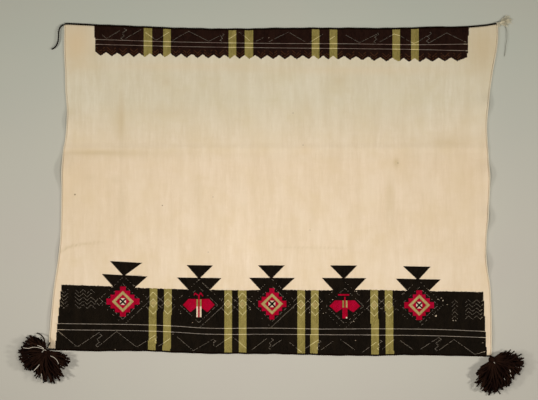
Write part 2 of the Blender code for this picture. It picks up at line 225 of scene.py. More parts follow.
# Wool embroidery: ribs of stitches side by side, each rib a column of stitches end to end
RIB_PITCH = 2.8
STITCH_LENGTH = 9.4
SHORTEST_STITCH = 3.2
STITCH_HEIGHT = 1.25
STITCH_SPREAD = 1.28
STITCH_ROOT = 0.15
STITCH_LAP = 0.35
CHART_STEP = 0.25
RIB_STAGGER = (0.0, 3.1, 6.2)
EMBROIDERY_SEED = 11
# How far a rib's stitch ends stray together, how far each one strays, and how far the rib does
STAGGER_STRAY = 0.5
TICK_STRAY = 0.6
RIB_STRAY = 0.12
# How plump stitches are, and how far the plumpest turn
STITCH_PLUMPNESS = (0.86, 1.12)
STITCH_TURN = 0.05
# A stitch's ends: how late they begin, how far they sink and narrow; and how much its crest narrows
STITCH_END_POWER = 6.0
STITCH_END_SINK = 0.55
STITCH_END_NARROWING = 0.06
STITCH_CREST_NARROWING = 0.42
# Lowest and highest y of the two borders' charts
TOP_CHART = (440.0, 580.0)
BOTTOM_CHART = (-515.0, -195.0)
# What a spot of a border can be covered with
BARE, DARK, GREEN, RED, TAN, WHITE, RUST, PALE = range(8)

# The top border
TOP_BAND_LEFT = (-579.0, -576.0)
TOP_BAND_RIGHT = (655.7, 651.0)
BAND_DROP = 4.0
RAGGED = 0.5
TOOTH_DEPTH = 12.7
# Rusty chevrons above each tooth: their rises from its tip, half width, width of the line
CHEVRON_RISES = (7.0, 15.5)
CHEVRON_HALF = 13.5
CHEVRON_WIDTH = 1.7
TOOTH_COUNT = 33
TOOTH_ANCHORS = [
    (0, -558.7), (4, -412.5), (6, -346.5), (12, -132), (14, -68.3), (19, 127.4), (22, 224.4),
    (27, 423.4), (29, 494.3), (32, 617.8),
]
TOOTH_TIPS = [
    (-561, 475.8), (-488, 472.8), (-317, 470.2), (-165, 466.2), (43, 464.6), (195, 463.4),
    (300, 460.8), (389, 456.8), (495, 455.2), (617, 458),
]

# The bottom border
BOTTOM_BAND_LEFT = (-688.4, -710.5)
BOTTOM_BAND_RIGHT = (702.6, 714.4)
BOTTOM_BAND_TOP = [
    (-690, -279.2), (-525, -285), (-396, -291), (-198, -296.3), (-79, -297.7), (-33, -296.3),
    (162, -297.7), (280, -296), (449, -299), (703, -303.6),
]
FIGURE_BASE_HALF = 36.0
FIGURE_LOWER_HALF = 72.5
FIGURE_LOWER_HEIGHT = 39.0
FIGURE_NECK_HALF = 4.0
# How far a figure's foot runs down into the band
FIGURE_SUNK = 8.0
# Each figure: x of its point, its upper triangle's half width and height, how far that shifts, its lean,
# and how much further its lower triangle reaches to the right
FIGURES = [
    (-482, 53, 44, 7.6, -0.055, 5),
    (-234, 43.2, 41.5, 2.6, -0.014, 1),
    (4, 43.9, 41.5, 0.5, -0.004, 5),
    (243.5, 44.6, 41.5, -1, -0.006, 1.5),
    (487.7, 45.5, 41.5, -3.6, -0.020, 2.5),
]

# Green stripes stand in pairs: x of the pair's middle at its top and foot, and half the stripes' distance
STRIPE_WIDTH = 25.5
TOP_STRIPES = [
    (-371.4, -371.4, 31.1), (-97.3, -97.3, 27.8), (180, 180, 29), (447, 447, 29.9),
]
BOTTOM_STRIPES = [
    (-360, -365.4, 24), (-115.2, -113.5, 23.4), (126.1, 123.8, 22), (367.2, 371.3, 24.2),
]
BOTTOM_STRIPE_ENDS = (-290.0, -505.0)

# Two pale lines run along each border: (x, y of the upper line, y of the lower line)
PALE_LINE = 1.6
GREEN_PALE_LINE = 2.5
TOP_LINES = [
    (-577, 529.7, 513.5), (-297, 521.1, 506.2), (0, 516.5, 501.9), (264, 515.1, 499.3),
    (495, 512.2, 496), (651, 514.1, 492.4),
]
BOTTOM_LINES = [
    (-708, -407.2, -427.4), (-297, -417.1, -436.9), (-234, -421.6, -441.2), (0, -422.6, -442.9),
    (168, -425.6, -444.3), (363, -424.9, -445.6), (564, -427.4, -448.5), (713, -433.6, -454),
]
# Loops of bare cotton that show in the pale lines
LINE_THREAD_RADIUS = 0.9
LINE_THREAD_RISE = 0.8
# How much deeper they run under the green stripes
LINE_THREAD_SUNK = 1.6
# How far beside a stripe they go down; how far apart their points are, and how far these stray;
# how far apart their thick and thin places are, and how thick those can be
STRIPE_MARGIN = 2.0
LINE_THREAD_STEP = 6.0
LINE_THREAD_WOBBLE = 0.25
LINE_THREAD_SWELL = 20.0
LINE_THREAD_SHARES = (0.3, 1.05)
LINE_THREAD_SEED = 9
# Lines, the stripes that cross them, how far down the stripes that is, and the threads' tone
LINE_THREADS = ((TOP_LINES, TOP_STRIPES, 0.5, 0.0), (BOTTOM_LINES, BOTTOM_STRIPES, 0.65, 1.0))

# Fine lines left unstitched: their width on the dark wool, where it closes over them, and on the green
FINE_LINE = 0.78
FINE_LINE_KEPT = 0.85
GREEN_LINE = 1.6

# Zigzags of the top border: (x, level), from 0 just above the pale lines to 1 near the edge
TOP_STROKES = [
    [(-560, 0.5), (-539, 0), (-496, 0.8)],
    [(-481, 0), (-426, 0.97)],
    [(-411, 0.7), (-375, 0), (-333, 0.8)],
    [(-322, 0), (-268, 0.95), (-202, 0), (-163, 0.6)],
    [(-136, 0.25), (-100, 0.95), (-66, 0.1)],
    [(-48, 0.05), (-22, 0.42)],
    [(-6, 0), (61, 1), (116, 0.05)],
    [(132, 0), (174, 0.8)],
    [(197, 0.3), (213, 0.6)],
    [(249, 0.75), (295, 0), (352, 0.85)],
    [(356, 0), (409, 0.9), (431, 0.7), (460, 0.2), (474, 0), (490, 0.2), (519, 0.75)],
    [(521, 0), (583, 1), (647, 0.05)],
]
TOP_LEVELS = (4.0, 38.0)
# Zigzags under the bottom border's pale lines, from 0 near the foot to 1 just below the lines
BOTTOM_STROKES = [
    [(-700, 1), (-636, 0), (-563, 0.93)],
    [(-568, 0.03), (-506, 1), (-440, 0), (-404, 0.45), (-376, 0.85)],
    [(-370, 0.1), (-354, 0.28), (-329, 0.65)],
    [(-308, 0.8), (-253, -0.1), (-186, 0.75)],
    [(-179, 0.2), (-151, 0.62), (-129, 0.9), (-121, 0.85), (-103, 0.57), (-78, 0.1)],
    [(-60, 0), (-11, 0.78)],
    [(5, 0.2), (17, 0.4), (41, 0.75)],
    [(64, 0.55), (104, -0.1)],
    [(116, 0.15), (161, 0.75)],
    [(170, 0.1), (208, 0.65)],
    [(230, 0.8), (282, 0.1)],
    [(307, 0), (351, 0.62)],
    [(369, 0.15), (410, 0.8)],
    [(430, 0.7), (472, 0.1)],
    [(496, 0.13), (556, 0.95)],
    [(557, 0.1), (607, 0.85), (676, -0.15), (712, 0.1)],
]
BOTTOM_LEVELS = (14.0, -3.5)

# A small bent hook between two zigzags: (x, y) from its top; then where hooks hang, and their scale
HOOK = [(0.0, 0.0), (9.0, -6.0), (-8.0, -19.0), (0.0, -28.0), (-12.0, -38.0), (-4.0, -45.0)]
HOOK_LINE = 0.85
TOP_HOOKS = [(-481.0, 566.0, 0.87), (-157.0, 549.0, 0.58), (352.0, 552.0, 0.78), (526.0, 554.0, 0.78)]
BOTTOM_HOOKS = [
    (-563, -441, 1), (-375, -449, 0.5), (-183, -463, 0.4), (4, -457, 0.8), (162, -462, 0.7),
    (363, -462, 0.75), (556, -453, 1),
]

# The red medallions: x, y, half width, half height; then their steps as shares (height, width)
MEDALLIONS = [
    (-485.5, -335, 55.2, 50),
    (6.6, -342.7, 46.2, 51.8),
    (492.4, -347, 48.6, 49.2),
]
MEDALLION_STEPS = [(1.0, 0.19), (0.72, 0.45), (0.46, 0.71), (0.21, 1.0)]
RING_OUTER = (36.0, 35.0)
RING_INNER = (23.5, 24.0)
EYE_HALF = (10.8, 10.8)
EYE_ARM = 3.7

# The butterflies: middle of their wings' tips, right wing's outline, feelers and their thickness,
# and the wool of the two body stripes, above and below their turn
BODY_STRIPES = [(-8.0, -3.0), (3.0, 8.5)]
BODY_FOOT = -41.0
BODY_TOE = -36.0
BODY_TURN = -5.0
BODY_TOP = 19.0
HEAD_TOP = 31.0
BUTTERFLIES = [
    dict(
        at=(-234.8, -346),
        wing=[(8, 19.4), (34, 20.2), (52.5, 0), (28, -24.6), (8, -8.2)],
        feelers=[(-17, 31), (-12, 38), (0, 30), (6, 39), (15, 28)],
        feeler_width=4.2,
        upper=(GREEN, GREEN),
        lower=(WHITE, WHITE),
        toe=(WHITE, WHITE),
    ),
    dict(
        at=(246.9, -350),
        wing=[(8, 18.8), (33, 19), (50.8, 0), (28, -21), (8, -8.2)],
        feelers=[(-22.5, 37.1), (13.8, 37.1)],
        feeler_width=5.3,
        upper=(GREEN, TAN),
        lower=(RED, RED),
        toe=(RED, WHITE),
    ),
]

# Diamonds of fine lines round each motif: half width, half height
OUTER_DIAMOND = (86.0, 80.0)
INNER_DIAMOND = (62.0, 58.5)
# How much higher than its motif an outer one sits
OUTER_DIAMOND_RISE = 3.0
# How much of their upper left, upper right, lower left and lower right sides still shows. The outer
# ones go motif by motif
OUTER_SHOWN = [
    (0.3, 0.35, 0.2, 0.85),
    (0.3, 0.35, 0.2, 0.95),
    (0.3, 0.35, 0.2, 1),
    (0.3, 0.35, 0.2, 0.6),
    (0.3, 0.35, 0.2, 0.5),
]
INNER_SHOWN = (0.35, 0.6, 0.45, 0.55)

# Lattice over each pair of green stripes: y of its middle, then offsets (x, y) of its two upper lines
LATTICE_MIDDLES = (-340.0, -343.0, -345.0, -347.0)
LATTICE_SMALL = [(-36.6, 0), (-24, 14), (-12, 0), (0, 13), (12, 0), (24, 14), (36.6, 0)]
LATTICE_LARGE = [(-48.0, 10.6), (-24.0, 36.5), (0.0, 10.6), (24.0, 36.5), (48.0, 10.6)]
# How far down the stripes that lies, and how much of it shows
LATTICE_DOWN = 0.25
LATTICE_KEPT = 0.7
# The tan lozenge on each stripe: half width, half height
LOZENGE_HALF = (8.5, 9.5)

# Rows of small peaks at the bottom border's two ends: y of the rows' feet, rise, lines of (x, level)
END_ROWS = [
    (
        (-307.5, -319.5, -332, -344.5, -357.5),
        12,
        [
            [(-691, 1), (-680, 0), (-667, 1)],
            [(-642, 1), (-629, 0), (-616, 1), (-603, 0), (-590, 1), (-577, 0)],
        ],
    ),
    (
        (-340, -353, -367, -379, -393),
        11,
        [
            [(600, 0), (609, 1), (620, 0)],
            [(644, 0), (655, 1), (668, 0), (682, 1), (694, 0), (704, 1)],
        ],
    ),
]
END_ROWS_KEPT = 0.85
END_ROWS_LINE = 0.6
# A small diamond beside the left rows: middle, half size, and how much of it shows
END_DIAMOND = (-563.8, -335.3, 12.0, 0.8)

# Flecks of bare cotton: x, y, height
FLECKS = [
    (206.6, -328.4, 1.6), (284.8, -302, 1.6), (175.2, -373.9, 1.4), (131.3, -371.6, 1.4),
    (277.2, -400.6, 1.4), (571.6, -331.7, 4), (563.6, -323.4, 1.8), (554.7, -327.7, 1.6),
    (585.4, -344.9, 1.6), (602.9, -397.7, 2.6), (613.8, -397.7, 1.4), (548.8, -381.8, 5),
    (546, -383.2, 2.6), (280.8, -463.3, 1.4), (701.3, -470.9, 1.6), (-319.8, -442.5, 1.4),
    (93.1, -321.1, 1.4), (-62.7, -335, 1.4), (-65.7, -361.4, 1.4), (-295.4, -374.2, 1.4),
    (-256.7, -404.6, 1.4), (-511.5, -493, 1.8), (-4, 535, 1.4),
]

# Edge cords and yarns are two plies twisted together
EDGE_TWIST = 15.0
EDGE_STEP = 2.2
EDGE_SAMPLES = 240
PLY_WAIST = 0.62
FREE_END_STEP = 1.6
# How thick a free end still is at its tip
FREE_END_TAPER = 0.75

# The free end of the dark cord at the top left corner, and the white thread at the top right
TIE_RADIUS = 1.9
TIE_PLY_RADIUS = 2.9
TIE_ARCH = 2.5
TIE_TWIST = 13.0
TIE_ROUTE = [
    (-678.4, 577), (-684, 576.7), (-689.6, 572.6), (-693.8, 565), (-696.6, 552.8), (-697.3, 536),
    (-698.8, 523.6), (-703.6, 510.8), (-711.2, 501.8), (-720.4, 497),
]
THREAD_RADIUS = 0.8
THREAD_TWIST = 6.0
THREAD_ROUTE = [
    (761.4, 578.2), (766, 577.6), (771.5, 575.6), (776.6, 570.4), (780.2, 560), (781.2, 546),
    (780.6, 528), (777.2, 511), (776.2, 495), (773, 474),
]
ROUTE_SAMPLES = 400

# A tassel: its head, its fan of yarns, and how far they reach (angle, reach)
LEFT_TASSEL = dict(
    head=(-735.7, -501.2),
    fan=(2, -258),
    layers=5,
    columns=52,
    layer_height=5.6,
    sway=0.12,
    seed=3,
    reach=[
        (-262, 32), (-235, 60), (-223, 77), (-199, 88), (-186, 89), (-172, 95), (-142, 89),
        (-133, 82), (-115, 81), (-100, 95), (-71, 105), (-56, 87), (-43, 76), (-20, 86), (-10, 63),
        (4, 42),
    ],
)
RIGHT_TASSEL = dict(
    head=(731, -526.1),
    fan=(38, -149),
    layers=6,
    columns=42,
    layer_height=4.7,
    sway=0.12,
    seed=8,
    reach=[
        (-150, 38), (-136, 69), (-125, 83), (-116, 96), (-94, 116), (-85, 120), (-75, 110),
        (-56, 102), (-48, 106), (-36, 94), (-24, 92), (-15, 107), (-4, 107), (7, 88), (16, 70),
        (39, 37),
    ],
)
BUNCH_SPAN = 110.0
HEAD_RADIUS = 9.5
YARN_RADIUS = 2.5
YARN_TWIST = 15.0
YARN_STEP = 4.6
# By how much of its height a yarn sinks towards its cut end
DROOP = 0.08
YARN_POINTS = 9
# Where in the head a yarn starts, as a share of its radius
YARN_START = 0.45
# How far a yarn swerves in the lowest layer, how much more in each one above it, and how it bobs
TANGLE = 0.17
TANGLE_GROWTH = 0.05
YARN_BOB = (-0.8, 1.6)
# How far it stands from its place in the fan, and how much shorter it may be than the bunch
COLUMN_STRAY = 0.35
YARN_SHORTER = 0.13
# Its thickness along its length (places, shares), and from yarn to yarn
YARN_PROFILE = ([0, 0.25, 0.8, 1.0], [0.5, 0.9, 1.08, 1.32])
YARN_VARIETY = (0.85, 1.12)
# The wrapping of the head, and the knot on it
HEAD_TURNS = 6
KNOT_SIZE = 5.2
WHITE_YARN_RADIUS = 1.2

# Loose yarns that curl out of a tassel: (x, y) from its head
LEFT_LOOSE = [
    [(0, 10), (-1, 24), (-5, 40), (-12, 52), (-22, 59), (-33, 62)],
    [(-10, 12), (-28, 30), (-40, 42), (-53, 54)],
    [(-14, 12), (-34, 26), (-48, 38), (-62, 44)],
    [(2, 4), (4, 14), (8, 22), (10, 31)],
    [(6, 2), (18, 4), (30, 1), (46, -8)],
]
RIGHT_LOOSE = [
    [(8, 6), (26, 20), (46, 24), (66, 18), (84, 8)],
    [(10, 0), (40, 6), (72, 2), (100, -8)],
    [(-6, -6), (-22, -22), (-36, -30), (-50, -44)],
]
# White yarns among the dark ones, in the same way
LEFT_WHITE = [
    [(-6, 12), (-22, 17), (-40, 19), (-56, 15), (-74, 17)],
    [(-6, 14), (-16, 21), (-26, 24)],
    [(-12, 2), (-4, 10), (2, 7)],
    [(16, -10), (28, -15), (38, -25), (43, -36)],
    [(-20, -38), (-30, -50), (-38, -58)],
    [(-14, -68), (-12, -82), (-13, -94)],
]
RIGHT_WHITE = [
    [(3, -5), (6, -9)],
    [(54, -30), (58, -38)],
    [(56, -46), (60, -52)],
    [(36, -58), (39, -63)],
]

# The knot and the frayed threads at the top right corner
TUFT_HEAD = (755.0, 582.5)
TUFT_FAN = (52.0, -20.0)
TUFT_REACH = [(-20.0, 26.0), (-8.0, 36.0), (16.0, 46.0), (36.0, 38.0), (52.0, 26.0)]
TUFT_THREADS = 34
TUFT_THREAD_RADIUS = 0.75
# How far from the knot's middle its threads begin, and how high they rise
TUFT_START = 3.0
TUFT_HEIGHTS = (1.0, 6.5)
# Tones of clean threads and of dark ones, which are dirt and painted shade of the gaps between the loops, and
# how many are clean
TUFT_CLEAN = (0.85, 1.0)
TUFT_DIRT_AND_SHADE = (0.0, 0.2)
TUFT_CLEAN_SHARE = 0.75
# Its loops: x and y from the knot, height, size, thickness, tone; the darker ones are painted shade of the
# gaps between the loops
TUFT_LOOPS = [
    (-1.5, -1.0, 5.2, 6.6, 2.3, 0.8),
    (1.0, -7.0, 4.4, 5.0, 2.0, 0.6),
    (12.0, 4.0, 6.0, 5.0, 1.9, 0.9),
    (20.0, 8.0, 6.4, 5.2, 1.6, 0.45),
    (27.0, 10.0, 5.6, 5.0, 1.8, 0.9),
    (33.0, 11.0, 5.0, 4.2, 1.5, 0.8),
]
TUFT_SEED = 5

# The camera looks straight down; the photograph's middle is this place on the cloth
PHOTO_WIDTH = 538
PHOTO_SCALE = 3.3
VIEW_MIDDLE = (-3.3, 0.0)
LENS = 100.0
SENSOR = 36.0
CAMERA_SIGHT = 50.0

# Gloss of cloth, wool and matt paint
MATT_GLOSS = 0.03

# The floor, the room's light and the lamps
FLOOR_HALF = 7.0
FLOOR_Z = -0.0003
ROOM_TINT = "fffdf8"
ROOM_LIGHT = 0.10
LAMP_TINT = "fffcf6"
SPOT_ANGLE = math.radians(84.0)
SPOT_RADIUS = 0.25
OVERHEAD_SIZE = (0.9, 0.7)
# Lamps: name, kind, place, aim, watts
LAMPS = [
    ("left_lamp", "SPOT", (-3.0, -0.35, 2.1), (0.6, 0.10, 0.0), 209.0),
    ("right_lamp", "SPOT", (3.0, -0.35, 2.1), (-0.6, 0.10, 0.0), 209.0),
    ("overhead", "AREA", (0.0, -0.25, 1.45), (0.0, -0.25, 0.0), 11.0),
]

# Where the cloth's solid says that the tables' zero is
solid_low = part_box("cloth")[0]
OFFSET = np.array([solid_low[0] / MM - SOLID_CORNER[0], solid_low[1] / MM - SOLID_CORNER[1], 0.0])
# The one body that every piece rides
BODY = next(iter(frame["bodies"]))


def world(points):
    """Places in metres for points of the tables."""
    return (np.asarray(points, float) + OFFSET) * MM


def smooth(rows, at):
    """Values along a smooth curve through the rows (place, value), for one place or many."""
    places, values = np.array(rows, float).T
    slopes = np.gradient(values, places)
    at = np.asarray(at, float)
    i = np.clip(np.searchsorted(places, at) - 1, 0, len(places) - 2)
    span = places[i + 1] - places[i]
    t = (at - places[i]) / span
    start = (1 + 2 * t) * (1 - t) ** 2 * values[i]
    end = t * t * (3 - 2 * t) * values[i + 1]
    bend = t * (1 - t) ** 2 * slopes[i] - t * t * (1 - t) * slopes[i + 1]
    return start + end + span * bend


def smooth_path(points, step):
    """Points a step apart along a smooth curve through the given ones, in two or three dimensions."""
    rows = np.array(points, float)
    number = np.arange(len(rows))
    at = np.linspace(0, len(rows) - 1, ROUTE_SAMPLES)
    if len(rows) > 2:
        fine = np.stack([smooth(np.stack([number, c], -1), at) for c in rows.T], -1)
    else:
        fine = np.stack([np.interp(at, number, c) for c in rows.T], -1)
    run = np.cumsum([0.0, *np.linalg.norm(np.diff(fine, axis=0), axis=1)])
    stops = np.linspace(0.0, run[-1], max(2, round(run[-1] / step)) + 1)
    return np.stack([np.interp(stops, run, c) for c in fine.T], -1)


def linear(code):
    """A linear colour from an sRGB hex value."""
    channels = [int(code[i : i + 2], 16) / 255 for i in (0, 2, 4)]
    return (*[c / 12.92 if c <= 0.04045 else ((c + 0.055) / 1.055) ** 2.4 for c in channels], 1.0)


def add_node(tree, kind, inputs=(), **settings):
    """Adds a node with its settings, and with a value or a link on each named or numbered input."""
    node = tree.nodes.new(kind)
    for name, value in settings.items():
        setattr(node, name, value)
    for socket, value in dict(inputs).items():
        if isinstance(value, bpy.types.NodeSocket):
            tree.links.new(value, node.inputs[socket])
        else:
            node.inputs[socket].default_value = value
    return node


def new_piece(name, mesh, material):
    """An object at the origin that shows a mesh in one material."""
    piece = bpy.data.objects.new(name, mesh)
    bpy.context.scene.collection.objects.link(piece)
    if material.name not in mesh.materials:
        mesh.materials.append(material)
    return piece


# Light, floor and camera


def build_lamp(name, kind, place, aim, power):
    """A soft lamp that points from its place to its aim."""
    lamp = bpy.data.lights.new(name, kind)
    if kind == "SPOT":
        lamp.spot_size = SPOT_ANGLE
        lamp.spot_blend = 1.0
        lamp.shadow_soft_size = SPOT_RADIUS
    else:
        lamp.shape = "RECTANGLE"
        lamp.size, lamp.size_y = OVERHEAD_SIZE
    lamp.energy = power
    lamp.color = linear(LAMP_TINT)[:3]
    holder = bpy.data.objects.new(name, lamp)
    bpy.context.scene.collection.objects.link(holder)
    way = np.array(aim) - np.array(place)
    across = math.hypot(way[0], way[1])
    holder.location = place
    holder.rotation_euler = (math.atan2(across, -way[2]), 0.0, math.atan2(way[1], way[0]) - math.pi / 2)


def build_stage():
    """A pale floor, two side lamps with a soft one overhead, and the camera straight above."""
    mesh = bpy.data.meshes.new("floor")
    corners = [(x * FLOOR_HALF, y * FLOOR_HALF, FLOOR_Z) for x, y in ((-1, -1), (1, -1), (1, 1), (-1, 1))]
    mesh.from_pydata(corners, [], [(0, 1, 2, 3)])
    new_piece("floor", mesh, painted_board())
    for lamp in LAMPS:
        build_lamp(*lamp)

    room = bpy.data.worlds.new("room")
    room.use_nodes = True
    background = room.node_tree.nodes["Background"]
    background.inputs["Color"].default_value = linear(ROOM_TINT)
    background.inputs["Strength"].default_value = ROOM_LIGHT
    bpy.context.scene.world = room
    bpy.context.scene.view_settings.view_transform = "Standard"

    camera = bpy.data.cameras.new("camera")
    camera.lens = LENS
    camera.sensor_fit = "HORIZONTAL"
    camera.sensor_width = SENSOR
    camera.clip_end = CAMERA_SIGHT
    eye = bpy.data.objects.new("camera", camera)
    bpy.context.scene.collection.objects.link(eye)
    x, y = world((*VIEW_MIDDLE, 0.0))[:2]
    eye.location = (x, y, PHOTO_WIDTH * PHOTO_SCALE * MM * LENS / SENSOR)
    bpy.context.scene.camera = eye


# Materials


def new_material(name, roughness, gloss):
    """A material's tree, shader and coordinates, with what is the same all over set on the shader."""
    material = bpy.data.materials.new(name)
    material.use_nodes = True
    tree = material.node_tree
    shader = tree.nodes["Principled BSDF"]
    shader.inputs["Roughness"].default_value = roughness
    shader.inputs["Specular IOR Level"].default_value = gloss
    place = add_node(tree, "ShaderNodeTexCoord").outputs["Object"]
    return material, tree, shader, place


def grain(tree, place, sizes, detail=2.0, seed=0.0, fineness=0.55):
    """Noise with blots of the given sizes in millimetres along x, y and z, and finer ones in them."""
    scale = tuple(1 / (MM * size) for size in sizes)
    inputs = {"Vector": place, "Scale": scale, "Location": (seed, seed, 0.0)}
    stretched = add_node(tree, "ShaderNodeMapping", inputs).outputs[0]
    inputs = {"Vector": stretched, "Scale": 1.0, "Detail": detail, "Roughness": fineness}
    return add_node(tree, "ShaderNodeTexNoise", inputs).outputs["Fac"]


def overlay(tree, under, over, pattern, low=0.0, high=1.0, most=1.0, blend_type="MIX"):
    """Lays a colour over another: none of it where the pattern is low, the most where it is high."""
    inputs = {0: pattern, 1: low, 2: high, 4: most}
    share = add_node(tree, "ShaderNodeMapRange", inputs, clamp=True).outputs[0]
    under, over = (linear(colour) if isinstance(colour, str) else colour for colour in (under, over))
    inputs = {0: share, 6: under, 7: over}
    return add_node(tree, "ShaderNodeMix", inputs, data_type="RGBA", blend_type=blend_type).outputs[2]


def dress(tree, shader, shade, relief, strength, depth):
    """Gives the shader its colour and its relief, whose depth is in millimetres."""
    inputs = {"Height": relief, "Strength": strength, "Distance": depth * MM}
    bump = add_node(tree, "ShaderNodeBump", inputs)
    tree.links.new(shade, shader.inputs["Base Color"])
    tree.links.new(bump.outputs[0], shader.inputs["Normal"])


def vary_roughness(tree, shader, pattern, smoothest, roughest):
    """Makes the surface smoother where the pattern is low and rougher where it is high."""
    inputs = {0: pattern, 1: 0.3, 2: 0.7, 3: smoothest, 4: roughest}
    rough = add_node(tree, "ShaderNodeMapRange", inputs, clamp=True)
    tree.links.new(rough.outputs[0], shader.inputs["Roughness"])


def painted_board():
    # Matt paint on a board: pale grey, with only a slow unevenness
    material, tree, shader, place = new_material("matt_painted_board", 0.9, MATT_GLOSS)
    along = add_node(tree, "ShaderNodeSeparateXYZ", {0: place}).outputs["Y"]
    shade = overlay(tree, "c2bdb3", "bec1b5", along, -0.1, 0.55)
    shade = overlay(tree, shade, "c4c2b5", grain(tree, place, (420, 420, 420)), 0.35, 0.65, 0.5)
    dress(tree, shader, shade, grain(tree, place, (3, 3, 3)), 0.1, 0.3)
    return material


def handspun_cotton():
    # Handspun cotton in plain weave: matt and cream, streaked where a thread is thicker or darker,
    # and greyer towards its top. Its threads are drawn about twice as coarse as real ones, to show
    material, tree, shader, place = new_material("handspun_cotton", 0.92, MATT_GLOSS)
    warp = grain(tree, place, (15, 130, 50), 5.0, 0.0, 0.85)
    fold = grain(tree, place, (60, 150, 60), 3.0, 3.0)
    shade = overlay(tree, "e7d1b4", "f2dec6", warp, 0.38, 0.66)
    for pattern, low, high, most, tint in (
        (grain(tree, place, (30, 240, 50), 3.0, 11.0), 0.42, 0.66, 0.5, "e2ccae"),
        (grain(tree, place, (60, 14, 50), 4.0, 7.0, 0.8), 0.45, 0.72, 0.4, "e2ccac"),
        (grain(tree, place, (95, 80, 80), 3.0, 19.0, 0.65), 0.45, 0.7, 0.5, "e4cda9"),
        (fold, 0.45, 0.72, 0.45, "f5e3cc"),
    ):
        shade = overlay(tree, shade, tint, pattern, low, high, most)
    for name, tint, blend_type in (
        ("greyed", "f1fcff", "MULTIPLY"),
        # Soil, with painted shade and painted light along the creases
        ("soil_and_shading", "cdb892", "MIX"),
        ("yellowed", "e1c9a4", "MIX"),
        # Painted shade on the cloth that shows between the wool's ribs
        ("rib_gap_shade", "b0b3ba", "MULTIPLY"),
    ):
        share = add_node(tree, "ShaderNodeAttribute", attribute_name=name).outputs["Fac"]
        shade = overlay(tree, shade, tint, share, blend_type=blend_type)
    for x, y, radius in SPOTS:
        middle = tuple(world((x, y, SHEET_THICKNESS)))
        far = add_node(tree, "ShaderNodeVectorMath", {0: place, 1: middle}, operation="DISTANCE")
        core = radius * SPOT_CORE * MM
        shade = overlay(tree, shade, "6f5638", far.outputs["Value"], radius * MM, core, SPOT_DARKNESS)

    inputs = {"Vector": place, "Scale": WAVE_TEXTURE_PERIOD / (THREAD_PITCH * MM), "Distortion": 2.5}
    threads = [add_node(tree, "ShaderNodeTexWave", inputs, bands_direction=way) for way in ("X", "Y")]
    crossed = {number: thread.outputs["Fac"] for number, thread in enumerate(threads)}
    weave = add_node(tree, "ShaderNodeMath", crossed, operation="MULTIPLY").outputs[0]
    lumps = add_node(tree, "ShaderNodeMath", {0: weave, 1: warp}, operation="ADD").outputs[0]
    dress(tree, shader, shade, lumps, 0.15, 0.5)
    vary_roughness(tree, shader, fold, 0.86, 0.97)
    return material


def stitched_wool(name, deep, pale, worn, fibre=(0.7, 5.0, 0.7), gloss=MATT_GLOSS):
    """Wool whose tone changes from stitch to stitch, with fibres along y and wear in patches."""
    material, tree, shader, place = new_material(name, 0.93, gloss)
    tone = add_node(tree, "ShaderNodeAttribute", attribute_name="tone").outputs["Fac"]
    patches = grain(tree, place, (24, 70, 24), 3.0)
    fibres = grain(tree, place, fibre)
    shade = overlay(tree, deep, pale, tone)
    shade = overlay(tree, shade, worn, patches, 0.42, 0.72, 0.55)
    shade = overlay(tree, shade, deep, fibres, 0.35, 0.65, 0.35)
    dress(tree, shader, shade, fibres, 0.5, 0.3)
    vary_roughness(tree, shader, fibres, 0.86, 0.98)
    return material


# Geometry Nodes


def new_tree(name, **kinds):
    """An empty tree with a geometry in and out, a material, and the named inputs of the given kinds."""
    tree = bpy.data.node_groups.new(name, "GeometryNodeTree")
    for label, kind in {"Geometry": "Geometry", **kinds, "Material": "Material"}.items():
        tree.interface.new_socket(label, in_out="INPUT", socket_type="NodeSocket" + kind)
    tree.interface.new_socket("Geometry", in_out="OUTPUT", socket_type="NodeSocketGeometry")
    return tree, tree.nodes.new("NodeGroupInput").outputs


def end_tree(tree, geometry, given):
    """Real meshes, shaded smooth, with the tree's material."""
    real = add_node(tree, "GeometryNodeRealizeInstances", {"Geometry": geometry})
    even = add_node(tree, "GeometryNodeSetShadeSmooth", {"Geometry": real.outputs[0]})
    inputs = {"Geometry": even.outputs[0], "Material": given["Material"]}
    painted = add_node(tree, "GeometryNodeSetMaterial", inputs)
    add_node(tree, "NodeGroupOutput", {0: painted.outputs[0]})


